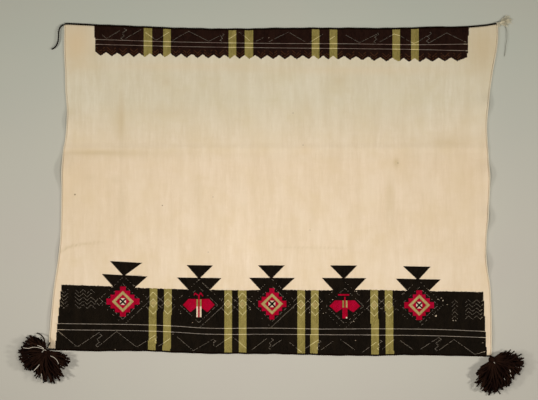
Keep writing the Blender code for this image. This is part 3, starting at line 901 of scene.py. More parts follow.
def stitch_tree():
    """A rounded stitch on every point, as long as the point's attribute says and lying along y."""
    tree, given = new_tree("stitches", Width="Float", Height="Float", Turn="Float", Seed="Int")
    block = add_node(tree, "GeometryNodeMeshCube", {"Vertices X": 2, "Vertices Y": 4, "Vertices Z": 2})
    at = add_node(tree, "GeometryNodeInputPosition").outputs[0]
    x, y, z = add_node(tree, "ShaderNodeSeparateXYZ", {0: at}).outputs
    inputs = {2: STITCH_PLUMPNESS[0], 3: STITCH_PLUMPNESS[1], "Seed": given["Seed"]}
    plump = add_node(tree, "FunctionNodeRandomValue", inputs, data_type="FLOAT").outputs[1]
    known = dict(x=x, y=y, z=z, plump=plump, height=given["Height"], turn=given["Turn"], seed=given["Seed"])
    # The block's corners lie from -0.5 to 0.5. They are drawn in towards its ends and its crest
    for name, operation, first, second in (
        ("end", "MULTIPLY", "y", 2.0),
        ("end", "ABSOLUTE", "end", 0.0),
        ("end", "POWER", "end", STITCH_END_POWER),
        ("up", "ADD", "z", 0.5),
        ("sunk", "MULTIPLY", "end", STITCH_END_SINK),
        ("body", "SUBTRACT", 1.0, "sunk"),
        ("rise", "MULTIPLY", "up", "body"),
        ("less", "MULTIPLY", "up", STITCH_CREST_NARROWING),
        ("narrow", "SUBTRACT", 1.0, "less"),
        ("side", "MULTIPLY", "x", "narrow"),
        ("less", "MULTIPLY", "end", STITCH_END_NARROWING),
        ("narrow", "SUBTRACT", 1.0, "less"),
        ("side", "MULTIPLY", "side", "narrow"),
        # A plump stitch turns one way, a thin one the other
        ("height", "MULTIPLY", "height", "plump"),
        ("swing", "MULTIPLY", "plump", 2.0),
        ("swing", "SUBTRACT", "swing", 2.0),
        ("turn", "MULTIPLY", "turn", "swing"),
        ("seed", "ADD", "seed", 1.0),
    ):
        inputs = {0: known.get(first, first), 1: known.get(second, second)}
        known[name] = add_node(tree, "ShaderNodeMath", inputs, operation=operation).outputs[0]
    shaped = add_node(tree, "ShaderNodeCombineXYZ", {0: known["side"], 1: y, 2: known["rise"]}).outputs[0]
    stitch = add_node(tree, "GeometryNodeSetPosition", {"Geometry": block.outputs[0], "Position": shaped})
    length = add_node(tree, "GeometryNodeInputNamedAttribute", {"Name": "length"}, data_type="FLOAT")
    inputs = {0: given["Width"], 1: length.outputs[0], 2: known["height"]}
    size = add_node(tree, "ShaderNodeCombineXYZ", inputs).outputs[0]
    turn = add_node(tree, "ShaderNodeCombineXYZ", {2: known["turn"]}).outputs[0]
    inputs = {"Points": given["Geometry"], "Instance": stitch.outputs[0], "Rotation": turn, "Scale": size}
    rows = add_node(tree, "GeometryNodeInstanceOnPoints", inputs)
    inputs = {2: 0.0, 3: 1.0, "Seed": known["seed"]}
    tone = add_node(tree, "FunctionNodeRandomValue", inputs, data_type="FLOAT").outputs[1]
    inputs = {"Geometry": rows.outputs[0], "Name": "tone", "Value": tone}
    toned = add_node(tree, "GeometryNodeStoreNamedAttribute", inputs, data_type="FLOAT", domain="INSTANCE")
    end_tree(tree, toned.outputs[0], given)
    return tree


def plied_tree():
    """Two plies twisted together along every path, whose points say how thick the yarn is there."""
    sizes = {name: "Float" for name in ("Radius", "Twist", "Step", "Waist")}
    tree, given = new_tree("plied_yarn", **sizes, Sides="Int")
    path = add_node(tree, "GeometryNodeMeshToCurve", {"Mesh": given["Geometry"]})
    inputs = {"Curve": path.outputs[0], "Length": given["Step"]}
    even = add_node(tree, "GeometryNodeResampleCurve", inputs, mode="LENGTH")
    run = add_node(tree, "GeometryNodeSplineParameter").outputs["Length"]
    thick = add_node(tree, "GeometryNodeInputNamedAttribute", {"Name": "thickness"}, data_type="FLOAT")
    inputs = {"Resolution": given["Sides"], "Radius": 1.0}
    ring = add_node(tree, "GeometryNodeCurvePrimitiveCircle", inputs).outputs[0]
    at = add_node(tree, "GeometryNodeInputPosition").outputs[0]
    x, y = add_node(tree, "ShaderNodeSeparateXYZ", {0: at}).outputs[:2]
    known = dict(x=x, y=y, run=run, thick=thick.outputs[0])
    known.update(radius=given["Radius"], twist=given["Twist"], waist=given["Waist"])
    # The ring is drawn in at its waist, which makes one yarn's outline look like two plies
    for name, operation, first, second in (
        ("turns", "MULTIPLY", "run", math.tau),
        ("turns", "DIVIDE", "turns", "twist"),
        ("across", "MULTIPLY", "thick", "radius"),
        ("xx", "MULTIPLY", "x", "x"),
        ("yy", "MULTIPLY", "y", "y"),
        ("doubled", "SUBTRACT", "xx", "yy"),
        ("middle", "ADD", "waist", 1.0),
        ("middle", "MULTIPLY", "middle", 0.5),
        ("bulge", "SUBTRACT", 1.0, "middle"),
        ("bulge", "MULTIPLY", "bulge", "doubled"),
        ("swell", "ADD", "middle", "bulge"),
    ):
        inputs = {0: known.get(first, first), 1: known.get(second, second)}
        known[name] = add_node(tree, "ShaderNodeMath", inputs, operation=operation).outputs[0]
    normal = add_node(tree, "GeometryNodeSetCurveNormal", {"Curve": even.outputs[0]}, mode="MINIMUM_TWIST")
    twisted = add_node(tree, "GeometryNodeSetCurveTilt", {"Curve": normal.outputs[0], "Tilt": known["turns"]})
    waisted = add_node(tree, "ShaderNodeVectorMath", {0: at, "Scale": known["swell"]}, operation="SCALE")
    profile = add_node(tree, "GeometryNodeSetPosition", {"Geometry": ring, "Position": waisted.outputs[0]})
    inputs = {"Curve": twisted.outputs[0], "Profile Curve": profile.outputs[0]}
    inputs.update({"Scale": known["across"], "Fill Caps": True})
    tube = add_node(tree, "GeometryNodeCurveToMesh", inputs)
    end_tree(tree, tube.outputs[0], given)
    return tree


def grown(name, source, tree, values, material):
    """The plain mesh that a tree grows from a source mesh, as a new piece."""
    seedling = bpy.data.objects.new(name + "_source", source)
    bpy.context.scene.collection.objects.link(seedling)
    modifier = seedling.modifiers.new("grow", "NODES")
    modifier.node_group = tree
    values = {**values, "Material": material}
    for item in tree.interface.items_tree:
        if item.in_out == "INPUT" and item.name in values:
            modifier[item.identifier] = values[item.name]
    graph = bpy.context.evaluated_depsgraph_get()
    graph.update()
    mesh = bpy.data.meshes.new_from_object(
        seedling.evaluated_get(graph), preserve_all_data_layers=True, depsgraph=graph
    )
    seedling.modifiers.remove(modifier)
    bpy.data.objects.remove(seedling)
    mesh.name = name
    return new_piece(name, mesh, material)


def path_mesh(name, paths):
    """A mesh of loose edges from paths (points, thickness, tone), with the last two kept on its points."""
    mesh = bpy.data.meshes.new(name)
    points, edges, thickness, tone = [], [], [], []
    for path, thick, shade in paths:
        first = len(points)
        points += world(path).tolist()
        edges += [(first + i, first + i + 1) for i in range(len(path) - 1)]
        thickness += np.broadcast_to(thick, len(path)).tolist()
        tone += [shade] * len(path)
    mesh.from_pydata(points, edges, [])
    for label, values in (("thickness", thickness), ("tone", tone)):
        mesh.attributes.new(label, "FLOAT", "POINT").data.foreach_set("value", values)
    return mesh


def plied(name, paths, material, tree, radius, twist, step, sides=8, waist=PLY_WAIST):
    """A piece of plied yarns along the paths, with its sizes in millimetres."""
    values = {"Radius": radius * MM, "Twist": twist * MM, "Step": step * MM, "Waist": waist, "Sides": sides}
    return grown(name, path_mesh(name + "_paths", paths), tree, values, material)


def raised(flat, z):
    """A path on the surface with its heights added."""
    return np.concatenate([flat, z[:, None]], -1)


# The cloth


def sheet_place(u, v, inset):
    """Where the place (u, v) of the cloth lies, each from 0 to 1, with its edges drawn in by the inset."""

    def across(edge, start, end, shift):
        x = start + (end - start) * u
        return np.stack([x + inset * (1 - 2 * u), smooth(edge, x) + shift], -1)

    def along(edge, start, end, shift):
        y = start + (end - start) * v
        return np.stack([smooth(edge, y) + shift, y + inset * (1 - 2 * v)], -1)

    bottom = across(BOTTOM_EDGE, BOTTOM_LEFT[0], BOTTOM_RIGHT[0], inset)
    top = across(TOP_EDGE, TOP_LEFT[0], TOP_RIGHT[0], -inset)
    left = along(LEFT_EDGE, BOTTOM_LEFT[1], TOP_LEFT[1], inset)
    right = along(RIGHT_EDGE, BOTTOM_RIGHT[1], TOP_RIGHT[1], -inset)
    u, v = u[..., None], v[..., None]
    low = (np.array(BOTTOM_LEFT) + inset) * (1 - u) + (np.array(BOTTOM_RIGHT) + (-inset, inset)) * u
    high = (np.array(TOP_LEFT) + (inset, -inset)) * (1 - u) + (np.array(TOP_RIGHT) - inset) * u
    return bottom * (1 - v) + top * v + left * (1 - u) + right * u - (low * (1 - v) + high * v)


def ridge(x, y, half_width, start_height, end_height, points):
    """Height of a soft ridge that runs along the points and fades at its ends."""
    height = np.zeros(np.shape(x))
    path = smooth_path(points, RIDGE_STEP)
    nearest = np.full(np.shape(x), np.inf)
    for (px, py), share in zip(path, np.linspace(0.0, 1.0, len(path))):
        far = np.hypot(x - px, y - py)
        closer = far < nearest
        fade = min(1.0, share * RIDGE_FADE + RIDGE_END, (1 - share) * RIDGE_FADE + RIDGE_END)
        top = (start_height + (end_height - start_height) * share) * math.sin(math.pi * fade / 2)
        swell = top * np.exp(-((far / half_width) ** 2) * 2)
        height = np.where(closer, np.maximum(height, swell), height)
        nearest = np.minimum(nearest, far)
    return height


def lift(x, y):
    """How far the underside of the cloth stands off the surface."""
    x, y = np.asarray(x, float), np.asarray(y, float)
    height = np.zeros(np.broadcast(x, y).shape)
    for side, middle, half_length, top, reach in RIPPLES:
        along = np.minimum(np.abs(y - middle) / half_length, 1.0)
        edge = smooth(LEFT_EDGE if side == "left" else RIGHT_EDGE, y)
        inwards = np.minimum(np.abs(x - edge) / reach, 1.0)
        height += top * np.cos(along * math.pi / 2) ** 2 * (1 - inwards) ** 2
    across = np.minimum(np.abs(y - CREASE_Y) / CREASE_HALF_WIDTH, 1.0)
    return np.maximum(height, CREASE_HEIGHT * np.cos(across * math.pi / 2) ** 2)


def waves(x, y):
    """Slow unevenness, never below zero."""
    rng = random.Random(WAVE_SEED)
    total = np.zeros(np.broadcast(x, y).shape)
    for _ in range(WAVE_COUNT):
        length = rng.uniform(*WAVE_LENGTHS)
        way = rng.uniform(0.0, math.pi)
        phase = rng.uniform(0.0, math.tau)
        total += np.sin((x * math.cos(way) + y * math.sin(way)) * math.tau / length + phase)
    return WAVE_HEIGHT * (0.5 + 0.5 * total / WAVE_COUNT**0.5).clip(0.0, 1.6)


def surface(x, y):
    """Height of the cloth's upper face: its lift, its softer creases and its slow waves."""
    extra = waves(x, y)
    for crease in CREASES:
        extra = np.maximum(extra, ridge(x, y, *crease))
    edge_u = np.minimum(x - smooth(LEFT_EDGE, y), smooth(RIGHT_EDGE, y) - x)
    edge_v = np.minimum(y - smooth(BOTTOM_EDGE, x), smooth(TOP_EDGE, x) - y)
    calm = (np.minimum(edge_u, edge_v) / CALM_EDGE).clip(0.0, 1.0)
    return SHEET_THICKNESS + lift(x, y) + extra * calm


def rib_gap_shade_mask(x, y):
    """Where the embroidery lies over the cloth; the cloth seen in the gaps between its ribs is painted darker
    there, as shade.
    """
    deep = RIB_GAP_SHADE_INSET
    top = (x > TOP_BAND_LEFT[0] + deep) & (x < TOP_BAND_RIGHT[1] - deep) & (y > TOP_LINES[-1][2] - 3.0)
    bottom = (x > BOTTOM_BAND_LEFT[0] + deep) & (x < BOTTOM_BAND_RIGHT[0] - deep)
    bottom &= y < smooth(BOTTOM_BAND_TOP, x) - deep
    for apex, *_ in FIGURES:
        up = y - smooth(BOTTOM_BAND_TOP, apex)
        half = FIGURE_BASE_HALF - deep + (FIGURE_LOWER_HALF - FIGURE_BASE_HALF) * up / FIGURE_LOWER_HEIGHT
        bottom |= (up > -2 * deep) & (up < FIGURE_LOWER_HEIGHT - deep / 2) & (np.abs(x - apex) < half)
    return (top | bottom).astype(float)


def cloth_mesh():
    """A closed sheet, and the x and y of its points in the order of its upper face."""
    u, v = np.meshgrid(np.linspace(0, 1, SHEET_COLUMNS + 1), np.linspace(0, 1, SHEET_ROWS + 1))
    place = sheet_place(u, v, SHEET_INSET)
    x, y = place[..., 0].ravel(), place[..., 1].ravel()
    top = surface(x, y)
    points = [np.stack([x, y, top], -1), np.stack([x, y, top - SHEET_THICKNESS], -1)]
    width = SHEET_COLUMNS + 1
    count = len(x)
    a = (np.arange(SHEET_ROWS)[:, None] * width + np.arange(SHEET_COLUMNS)[None, :]).ravel()
    over = np.stack([a, a + 1, a + width + 1, a + width], -1)
    under = over[:, ::-1] + count
    rim = [*range(width)]
    rim += [width * row + SHEET_COLUMNS for row in range(1, SHEET_ROWS + 1)]
    rim += [width * SHEET_ROWS + column for column in range(SHEET_COLUMNS - 1, -1, -1)]
    rim += [width * row for row in range(SHEET_ROWS - 1, 0, -1)]
    sides = [(s + count, t + count, t, s) for s, t in zip(rim, rim[1:] + rim[:1])]
    mesh = bpy.data.meshes.new("manta_cloth")
    mesh.from_pydata(world(np.concatenate(points)).tolist(), [], [*over.tolist(), *under.tolist(), *sides])
    mesh.shade_smooth()
    return mesh, x, y


def build_cloth(cotton):
    """The cloth, with what its colour depends on kept on its points."""
    mesh, x, y = cloth_mesh()
    # The second shade is painted shade for the cloth that shows between the wool's ribs
    shades = {"greyed": (y - GREYED_Y) / GREYED_RUN + 0.5, "rib_gap_shade": rib_gap_shade_mask(x, y)}
    for label, base, blots in (("soil_and_shading", SOIL_EVERYWHERE, SOIL_AND_SHADING), ("yellowed", 0.0, YELLOWED)):
        shades[label] = np.full(len(x), base)
        for sx, sy, half_width, half_height, strength in blots:
            far = ((x - sx) / half_width) ** 2 + ((y - sy) / half_height) ** 2
            shades[label] += strength * np.exp(-far)
    # Lines of painted shade along creases go in with the soil
    for fold in PAINTED_FOLD_SHADE:
        shades["soil_and_shading"] += ridge(x, y, *fold)
    for label, values in shades.items():
        values = np.tile(values.clip(0.0, 1.0), 2)
        mesh.attributes.new(label, "FLOAT", "POINT").data.foreach_set("value", values)
    return new_piece("manta_cloth", mesh, cotton)


# The embroidery's chart: what covers each spot of a border


def stroke(x, y, points, width, kept=True):
    """Where ribs are crossed by a line through the points; kept says which ribs show it."""
    hit = np.zeros(x.shape, bool)
    for (x0, y0), (x1, y1) in zip(points, points[1:]):
        share = (x - x0) / (x1 - x0)
        slope = (y1 - y0) / (x1 - x0)
        near = np.abs(y - (y0 + (y1 - y0) * share)) < width / 2 * math.hypot(1.0, slope)
        hit |= near & (share >= 0) & (share <= 1)
    return hit & kept


def bare_line(cover, x, y, points, rng, kept=FINE_LINE_KEPT, width=FINE_LINE):
    """A line left unstitched on the wool; on some ribs the dark wool has closed over it."""
    shown = (rng.random(x.shape[0]) < kept)[:, None]
    cover[stroke(x, y, points, width, shown) & (cover == DARK)] = BARE
    cover[stroke(x, y, points, GREEN_LINE) & (cover == GREEN)] = PALE


def inside(x, y, corners):
    """Where the spots lie inside a closed outline."""
    odd = np.zeros(x.shape, bool)
    for (x0, y0), (x1, y1) in zip(corners, corners[1:] + corners[:1]):
        if y0 != y1:
            crosses = (y0 > y) != (y1 > y)
            odd ^= crosses & (x < x0 + (y - y0) * (x1 - x0) / (y1 - y0))
    return odd


def between_sides(x, down, left, right):
    """Where the spots lie between slanted sides, each (x at its top, x at its foot)."""
    low, high = (top + (foot - top) * down for top, foot in (left, right))
    return (x > low) & (x < high)


def stripe_ranges(stripes, share):
    """The left and right side of each green stripe, at a share of the way from its top to its foot."""
    sides = []
    for top, foot, half_gap in stripes:
        middle = top + (foot - top) * share
        for way in (-1, 1):
            centre = middle + way * half_gap
            sides.append((centre - STRIPE_WIDTH / 2, centre + STRIPE_WIDTH / 2))
    return sides


def line_rows(lines, column):
    """One of a border's two pale lines, as rows (x, y)."""
    return [(row[0], row[column]) for row in lines]


def level_points(corners, low, high):
    """Corners (x, level), turned to places between two lines, each (rows, rise)."""
    points = []
    for x, level in corners:
        foot, head = (float(smooth(rows, x)) + rise for rows, rise in (low, high))
        points.append((x, foot + (head - foot) * level))
    return points


def ragged(x, rng):
    """How unevenly the ribs end along a border's edge."""
    return rng.normal(0.0, RAGGED, (len(x), 1))


def chart_lines(cover, x, y, rng, lines, strokes, low, high, hooks):
    """A border's pale lines, its zigzags between two levels, its hooks, and the flecks."""
    for column in (1, 2):
        far = np.abs(y - smooth(line_rows(lines, column), x))
        cover[(far < GREEN_PALE_LINE / 2) & (cover == GREEN)] = PALE
        cover[(far < PALE_LINE / 2) & (cover == DARK)] = BARE
    for corners in strokes:
        bare_line(cover, x, y, level_points(corners, low, high), rng)
    for hook_x, hook_y, scale in hooks:
        points = [(hook_x + dx * scale, hook_y + dy * scale) for dx, dy in HOOK]
        bare_line(cover, x, y, points, rng, 1.0, HOOK_LINE)
    for fleck_x, fleck_y, height in FLECKS:
        cover[(np.abs(x - fleck_x) < RIB_PITCH / 2) & (np.abs(y - fleck_y) < height / 2)] = WHITE


def chart_diamond(cover, x, y, middle, half, rng, shown):
    """A diamond of fine lines, each side of which shows as much as is said."""
    (cx, cy), (half_width, half_height) = middle, half
    ways = [(-1, 1), (1, 1), (-1, -1), (1, -1)]
    for (across, up), kept in zip(ways, shown):
        bare_line(cover, x, y, [(cx, cy + up * half_height), (cx + across * half_width, cy)], rng, kept)


def chart_top(x, y, rng):
    """The top border: its dark band, teeth, stripes and lines, and a chevron above each tooth's tip."""
    anchors = np.array(TOOTH_ANCHORS)
    tips = np.interp(range(TOOTH_COUNT), anchors[:, 0], anchors[:, 1])
    notches = [TOP_BAND_LEFT[1], *((tips[1:] + tips[:-1]) / 2), TOP_BAND_RIGHT[1]]
    tooth_x = sorted([*tips, *notches])
    rises = [TOOTH_DEPTH if number % 2 == 0 else 0.0 for number in range(len(tooth_x))]
    tooth_y = [smooth(TOOTH_TIPS, at) + rise for at, rise in zip(tooth_x, rises)]
    foot = np.interp(x, tooth_x, tooth_y) + ragged(x, rng)
    head = smooth(TOP_EDGE, x) - BAND_DROP
    wide = between_sides(x, (head - y) / (head - foot), TOP_BAND_LEFT, TOP_BAND_RIGHT)
    cover = np.where((y > foot) & (y < head) & wide, DARK, BARE)
    for left, right in stripe_ranges(TOP_STRIPES, 0.5):
        cover[(cover == DARK) & (x > left) & (x < right)] = GREEN
    low, high = ((line_rows(TOP_LINES, 1), rise) for rise in TOP_LEVELS)
    chart_lines(cover, x, y, rng, TOP_LINES, TOP_STROKES, low, high, TOP_HOOKS)
    under = y < smooth(line_rows(TOP_LINES, 2), x) - CHEVRON_WIDTH
    for tip in tips:
        for rise in CHEVRON_RISES:
            foot = float(smooth(TOOTH_TIPS, tip)) + rise
            head = foot + TOOTH_DEPTH
            points = [(tip - CHEVRON_HALF, head), (tip, foot), (tip + CHEVRON_HALF, head)]
            shown = (rng.random(x.shape[0]) < FINE_LINE_KEPT)[:, None]
            cover[stroke(x, y, points, CHEVRON_WIDTH, shown) & under & (cover == DARK)] = RUST
    return cover


def chart_figure(cover, x, y, apex, upper_half, upper_height, shift, lean, reach):
    """A terraced figure: two dark triangles, point down, one above the other."""
    across = x - apex
    up = y - lean * across - smooth(BOTTOM_BAND_TOP, apex)
    lower = up / FIGURE_LOWER_HEIGHT
    half = FIGURE_BASE_HALF + (FIGURE_LOWER_HALF - FIGURE_BASE_HALF + reach * (across > 0)) * lower
    half = np.maximum(half, FIGURE_BASE_HALF - 2)
    cover[(up > -FIGURE_SUNK) & (lower <= 1) & (np.abs(across) < half)] = DARK
    upper = (up - FIGURE_LOWER_HEIGHT) / upper_height
    half = FIGURE_NECK_HALF + (upper_half - FIGURE_NECK_HALF) * upper
    cover[(upper > -0.02) & (upper < 1) & (np.abs(across - shift * upper) < half)] = DARK


def chart_stripes(cover, x, y, rng, down, pair, lattice_y):
    """A pair of green stripes with a lozenge on each, and the lattice of fine lines over both."""
    top, foot, half_gap = pair
    for way in (-1, 1):
        middle = top + (foot - top) * down + way * half_gap
        cover[(np.abs(x - middle) < STRIPE_WIDTH / 2) & (cover == DARK)] = GREEN
        share = np.abs(x - middle) / LOZENGE_HALF[0] + np.abs(y - lattice_y) / LOZENGE_HALF[1]
        cover[share < 1] = TAN
    middle = top + (foot - top) * LATTICE_DOWN
    for offsets in (LATTICE_SMALL, LATTICE_LARGE):
        for way in (-1, 1):
            points = [(middle + dx, lattice_y + way * dy) for dx, dy in offsets]
            bare_line(cover, x, y, points, rng, LATTICE_KEPT)


def chart_medallion(cover, x, y, cx, cy, half_width, half_height):
    """A stepped red diamond with a tan ring and a small eye."""
    dx, dy = np.abs(x - cx), np.abs(y - cy)
    for height_share, width_share in MEDALLION_STEPS:
        cover[(dy < height_share * half_height) & (dx < width_share * half_width)] = RED
    outer = dx / RING_OUTER[0] + dy / RING_OUTER[1] < 1
    inner = dx / RING_INNER[0] + dy / RING_INNER[1] < 1
    cover[outer & ~inner] = TAN
    eye = (dx < EYE_HALF[0]) & (dy < EYE_HALF[1])
    cover[eye] = WHITE
    cover[eye & (np.abs(dx - dy) < EYE_ARM)] = DARK


def chart_butterfly(cover, x, y, shape):
    """A red butterfly: its wings, its body with two stripes, and its feelers."""
    u, v = x - shape["at"][0], y - shape["at"][1]
    cover[inside(np.abs(u), v, shape["wing"])] = RED
    cover[(u > BODY_STRIPES[0][1]) & (u < BODY_STRIPES[1][0]) & (v < HEAD_TOP) & (v > BODY_FOOT)] = RED
    for (left, right), upper, lower, toe in zip(BODY_STRIPES, shape["upper"], shape["lower"], shape["toe"]):
        side = (u > left) & (u < right) & (v < BODY_TOP) & (v > BODY_FOOT)
        cover[side] = np.where(v[side] > BODY_TURN, upper, np.where(v[side] > BODY_TOE, lower, toe))
    cover[stroke(u, v, shape["feelers"], shape["feeler_width"])] = RED


def chart_bottom(x, y, rng):
    """The bottom border: its dark band with the figures, stripes, fine lines and red motifs."""
    head = smooth(BOTTOM_BAND_TOP, x) + ragged(x, rng)
    foot = smooth(BOTTOM_EDGE, x) + BAND_DROP
    top, low = BOTTOM_STRIPE_ENDS
    down = ((top - y) / (top - low)).clip(-0.1, 1.1)
    wide = between_sides(x, down, BOTTOM_BAND_LEFT, BOTTOM_BAND_RIGHT)
    cover = np.where((y < head) & (y > foot) & wide, DARK, BARE)
    for figure in FIGURES:
        chart_figure(cover, x, y, *figure)
    for pair, lattice_y in zip(BOTTOM_STRIPES, LATTICE_MIDDLES):
        chart_stripes(cover, x, y, rng, down, pair, lattice_y)
    for feet, rise, lines in END_ROWS:
        for row_y in feet:
            for line in lines:
                points = [(at, row_y + rise * level) for at, level in line]
                bare_line(cover, x, y, points, rng, END_ROWS_KEPT, END_ROWS_LINE)
    chart_diamond(cover, x, y, END_DIAMOND[:2], (END_DIAMOND[2],) * 2, rng, (END_DIAMOND[3],) * 4)
    motifs = [MEDALLIONS[0], BUTTERFLIES[0]["at"], MEDALLIONS[1], BUTTERFLIES[1]["at"], MEDALLIONS[2]]
    for motif, figure, shown in zip(motifs, FIGURES, OUTER_SHOWN):
        chart_diamond(cover, x, y, (figure[0], motif[1] + OUTER_DIAMOND_RISE), OUTER_DIAMOND, rng, shown)
        chart_diamond(cover, x, y, motif[:2], INNER_DIAMOND, rng, INNER_SHOWN)
    low = (BOTTOM_EDGE, BOTTOM_LEVELS[0])
    high = (line_rows(BOTTOM_LINES, 2), BOTTOM_LEVELS[1])
    chart_lines(cover, x, y, rng, BOTTOM_LINES, BOTTOM_STROKES, low, high, BOTTOM_HOOKS)
    for motif in MEDALLIONS:
        chart_medallion(cover, x, y, *motif)
    for shape in BUTTERFLIES:
        chart_butterfly(cover, x, y, shape)
    return cover


def stitches_of(chart, left, right, low, high, rng):
    """Stitches (x, y, length) of each colour, read from a chart rib by rib."""
    ribs = np.arange(left + RIB_PITCH / 2, right, RIB_PITCH)
    rows = np.arange(low, high, CHART_STEP)
    x, y = np.meshgrid(ribs, rows, indexing="ij")
    cover = chart(x, y, rng)
    found = {colour: [] for colour in (DARK, GREEN, RED, TAN, WHITE, RUST, PALE)}
    for number, rib in enumerate(ribs):
        column = cover[number]
        cuts = [0, *(np.flatnonzero(np.diff(column)) + 1), len(column)]
        stagger = RIB_STAGGER[number % len(RIB_STAGGER)] + rng.uniform(-STAGGER_STRAY, STAGGER_STRAY)
        for first, last in zip(cuts, cuts[1:]):
            colour = column[first]
            if colour == BARE or last - first < 2:
                continue
            start, end = rows[first], rows[last - 1] + CHART_STEP
            ticks = np.arange(math.floor(start / STITCH_LENGTH) * STITCH_LENGTH + stagger, end, STITCH_LENGTH)
            ticks = ticks + rng.uniform(-TICK_STRAY, TICK_STRAY, len(ticks))
            ticks = [t for t in ticks if start + SHORTEST_STITCH < t < end - SHORTEST_STITCH]
            stops = [start, *ticks, end]
            shift = rng.uniform(-RIB_STRAY, RIB_STRAY)
            for a, b in zip(stops, stops[1:]):
                a, b = a - (STITCH_LAP if a > start else 0.0), b + (STITCH_LAP if b < end else 0.0)
                found[colour].append((rib + shift, (a + b) / 2, b - a))
    return found


def stitch_mesh(name, stitches):
    """A loose point on the cloth for each stitch, with the stitch's length."""
    rows = np.array(stitches)
    z = surface(rows[:, 0], rows[:, 1]) - STITCH_ROOT
    mesh = bpy.data.meshes.new(name)
    mesh.from_pydata(world(np.stack([rows[:, 0], rows[:, 1], z], -1)).tolist(), [], [])
    mesh.attributes.new("length", "FLOAT", "POINT").data.foreach_set("value", rows[:, 2] * MM)
    return mesh


def build_embroidery(tree):
    """The two borders, one piece for each wool, the bottom border's dark wool in three."""
    rng = np.random.default_rng(EMBROIDERY_SEED)
    top = stitches_of(chart_top, TOP_BAND_LEFT[0], TOP_BAND_RIGHT[0], *TOP_CHART, rng)
    bottom = stitches_of(chart_bottom, BOTTOM_BAND_LEFT[1], BOTTOM_BAND_RIGHT[1], *BOTTOM_CHART, rng)
    # Sheep's wool, brown-black, spun and plied by hand: matt, a little rusty where light has faded it
    faded = stitched_wool("faded_brown_wool", "1d100c", "2b1913", "38231a")
    black = stitched_wool("brown_black_wool", "130f0a", "1d1711", "251d14")
    # The same wool where the sun has turned it to rust
    rusty = stitched_wool("rusty_brown_wool", "4a2c1a", "5e3b24", "6b4a30")
    # Wool dyed olive: dull, with undyed fibres that keep it warm
    olive = stitched_wool("olive_wool", "887b42", "a09253", "af9f62")
    # Ravelled red wool: strong crimson that goes pinker where it has worn
    crimson = stitched_wool("crimson_wool", "9d0422", "b6062d", "c01244")
    # Wool dyed tan: flat and dusty, as its dye was weak
    tan = stitched_wool("tan_wool", "a8945c", "bfa971", "c6b47d")
    # Wool dyed a weak yellow, nearly cream where it has faded
    pale = stitched_wool("pale_yellow_wool", "dccd8c", "f0e3ac", "f6eabb")
    # White cotton and wool yarn, warm from age
    white = stitched_wool("white_yarn", "d9c4a6", "efdcc2", "f2dcc8")
    jobs = [
        ("embroidery_top_dark", top[DARK], faded, "embroidery_dark"),
        ("embroidery_rust", top[RUST], rusty, "embroidery_dark"),
        ("embroidery_green", top[GREEN] + bottom[GREEN], olive, "embroidery_green"),
        ("embroidery_red", bottom[RED], crimson, "embroidery_red"),
        ("embroidery_tan", top[TAN] + bottom[TAN], tan, "embroidery_tan"),
        ("embroidery_pale", top[PALE] + bottom[PALE], pale, "embroidery_tan"),
        ("embroidery_white", top[WHITE] + bottom[WHITE], white, "embroidery_cream"),
    ]
    third = (BOTTOM_BAND_RIGHT[1] - BOTTOM_BAND_LEFT[1]) / 3
    for number in range(3):
        low = BOTTOM_BAND_LEFT[1] + third * number
        part = [row for row in bottom[DARK] if low <= row[0] < low + third]
        jobs.append((f"embroidery_bottom_dark_{number + 1}", part, black, "embroidery_dark"))
    pieces = []
    for number, (name, stitches, material, slot) in enumerate(jobs):
        values = {
            "Width": RIB_PITCH * STITCH_SPREAD * MM,
            "Height": STITCH_HEIGHT * MM,
            "Turn": STITCH_TURN,
            "Seed": EMBROIDERY_SEED + 2 * number,
        }
        piece = grown(name, stitch_mesh(name + "_points", stitches), tree, values, material)
        pieces.append((piece, slot))
    return pieces


def build_line_threads(tree):
    """The bare cotton threads that show between the stitches as pale lines."""
    rng = random.Random(LINE_THREAD_SEED)
    paths = []
    for lines, stripes, share, tone in LINE_THREADS:
        for column in (1, 2):
            x = np.arange(lines[0][0] + 1.0, lines[-1][0], LINE_THREAD_STEP)
            wobble = np.array([rng.uniform(-LINE_THREAD_WOBBLE, LINE_THREAD_WOBBLE) for _ in x])
            knots = np.arange(x[0], x[-1] + LINE_THREAD_SWELL, LINE_THREAD_SWELL)
            thick = np.interp(x, knots, [rng.uniform(*LINE_THREAD_SHARES) for _ in knots])
            y = smooth(line_rows(lines, column), x) + wobble
            sides = stripe_ranges(stripes, share)
            sunk = sum((x > left - STRIPE_MARGIN) & (x < right + STRIPE_MARGIN) for left, right in sides)
            z = surface(x, y) + LINE_THREAD_RISE * (0.3 + 0.7 * thick) - LINE_THREAD_SUNK * sunk
            paths.append((np.stack([x, y, z], -1), thick, tone))
    # Ground cotton seen between two rows of wool: greyer and pinker than the open cloth
    cotton = stitched_wool("ground_cotton_thread", "c8a497", "e0d8ce", "d4c8b6", (5.0, 0.7, 0.7))
    return plied("pale_line_threads", paths, cotton, tree, LINE_THREAD_RADIUS, 6.0, 3.0, 5, 0.7)


# Cords, tassels and the tuft


def edge_path(which, radius):
    """The path of the cord in one edge of the cloth."""
    t = np.linspace(0.0, 1.0, EDGE_SAMPLES)
    if which in ("top", "bottom"):
        place = sheet_place(t, np.full_like(t, 1.0 if which == "top" else 0.0), radius)
    else:
        place = sheet_place(np.full_like(t, 1.0 if which == "right" else 0.0), t, radius)
        place = place[1:-1]
    z = lift(place[:, 0], place[:, 1]) + radius
    if which in ("top", "bottom"):
        x = place[:, 0]
        wander = np.sin(x / 9.7) + np.sin(x / 21.0 + 1.0)
        place[:, 1] += WOOL_CORD_WAVE * wander * np.sin(math.pi * t) ** 0.5
    return raised(place, z)


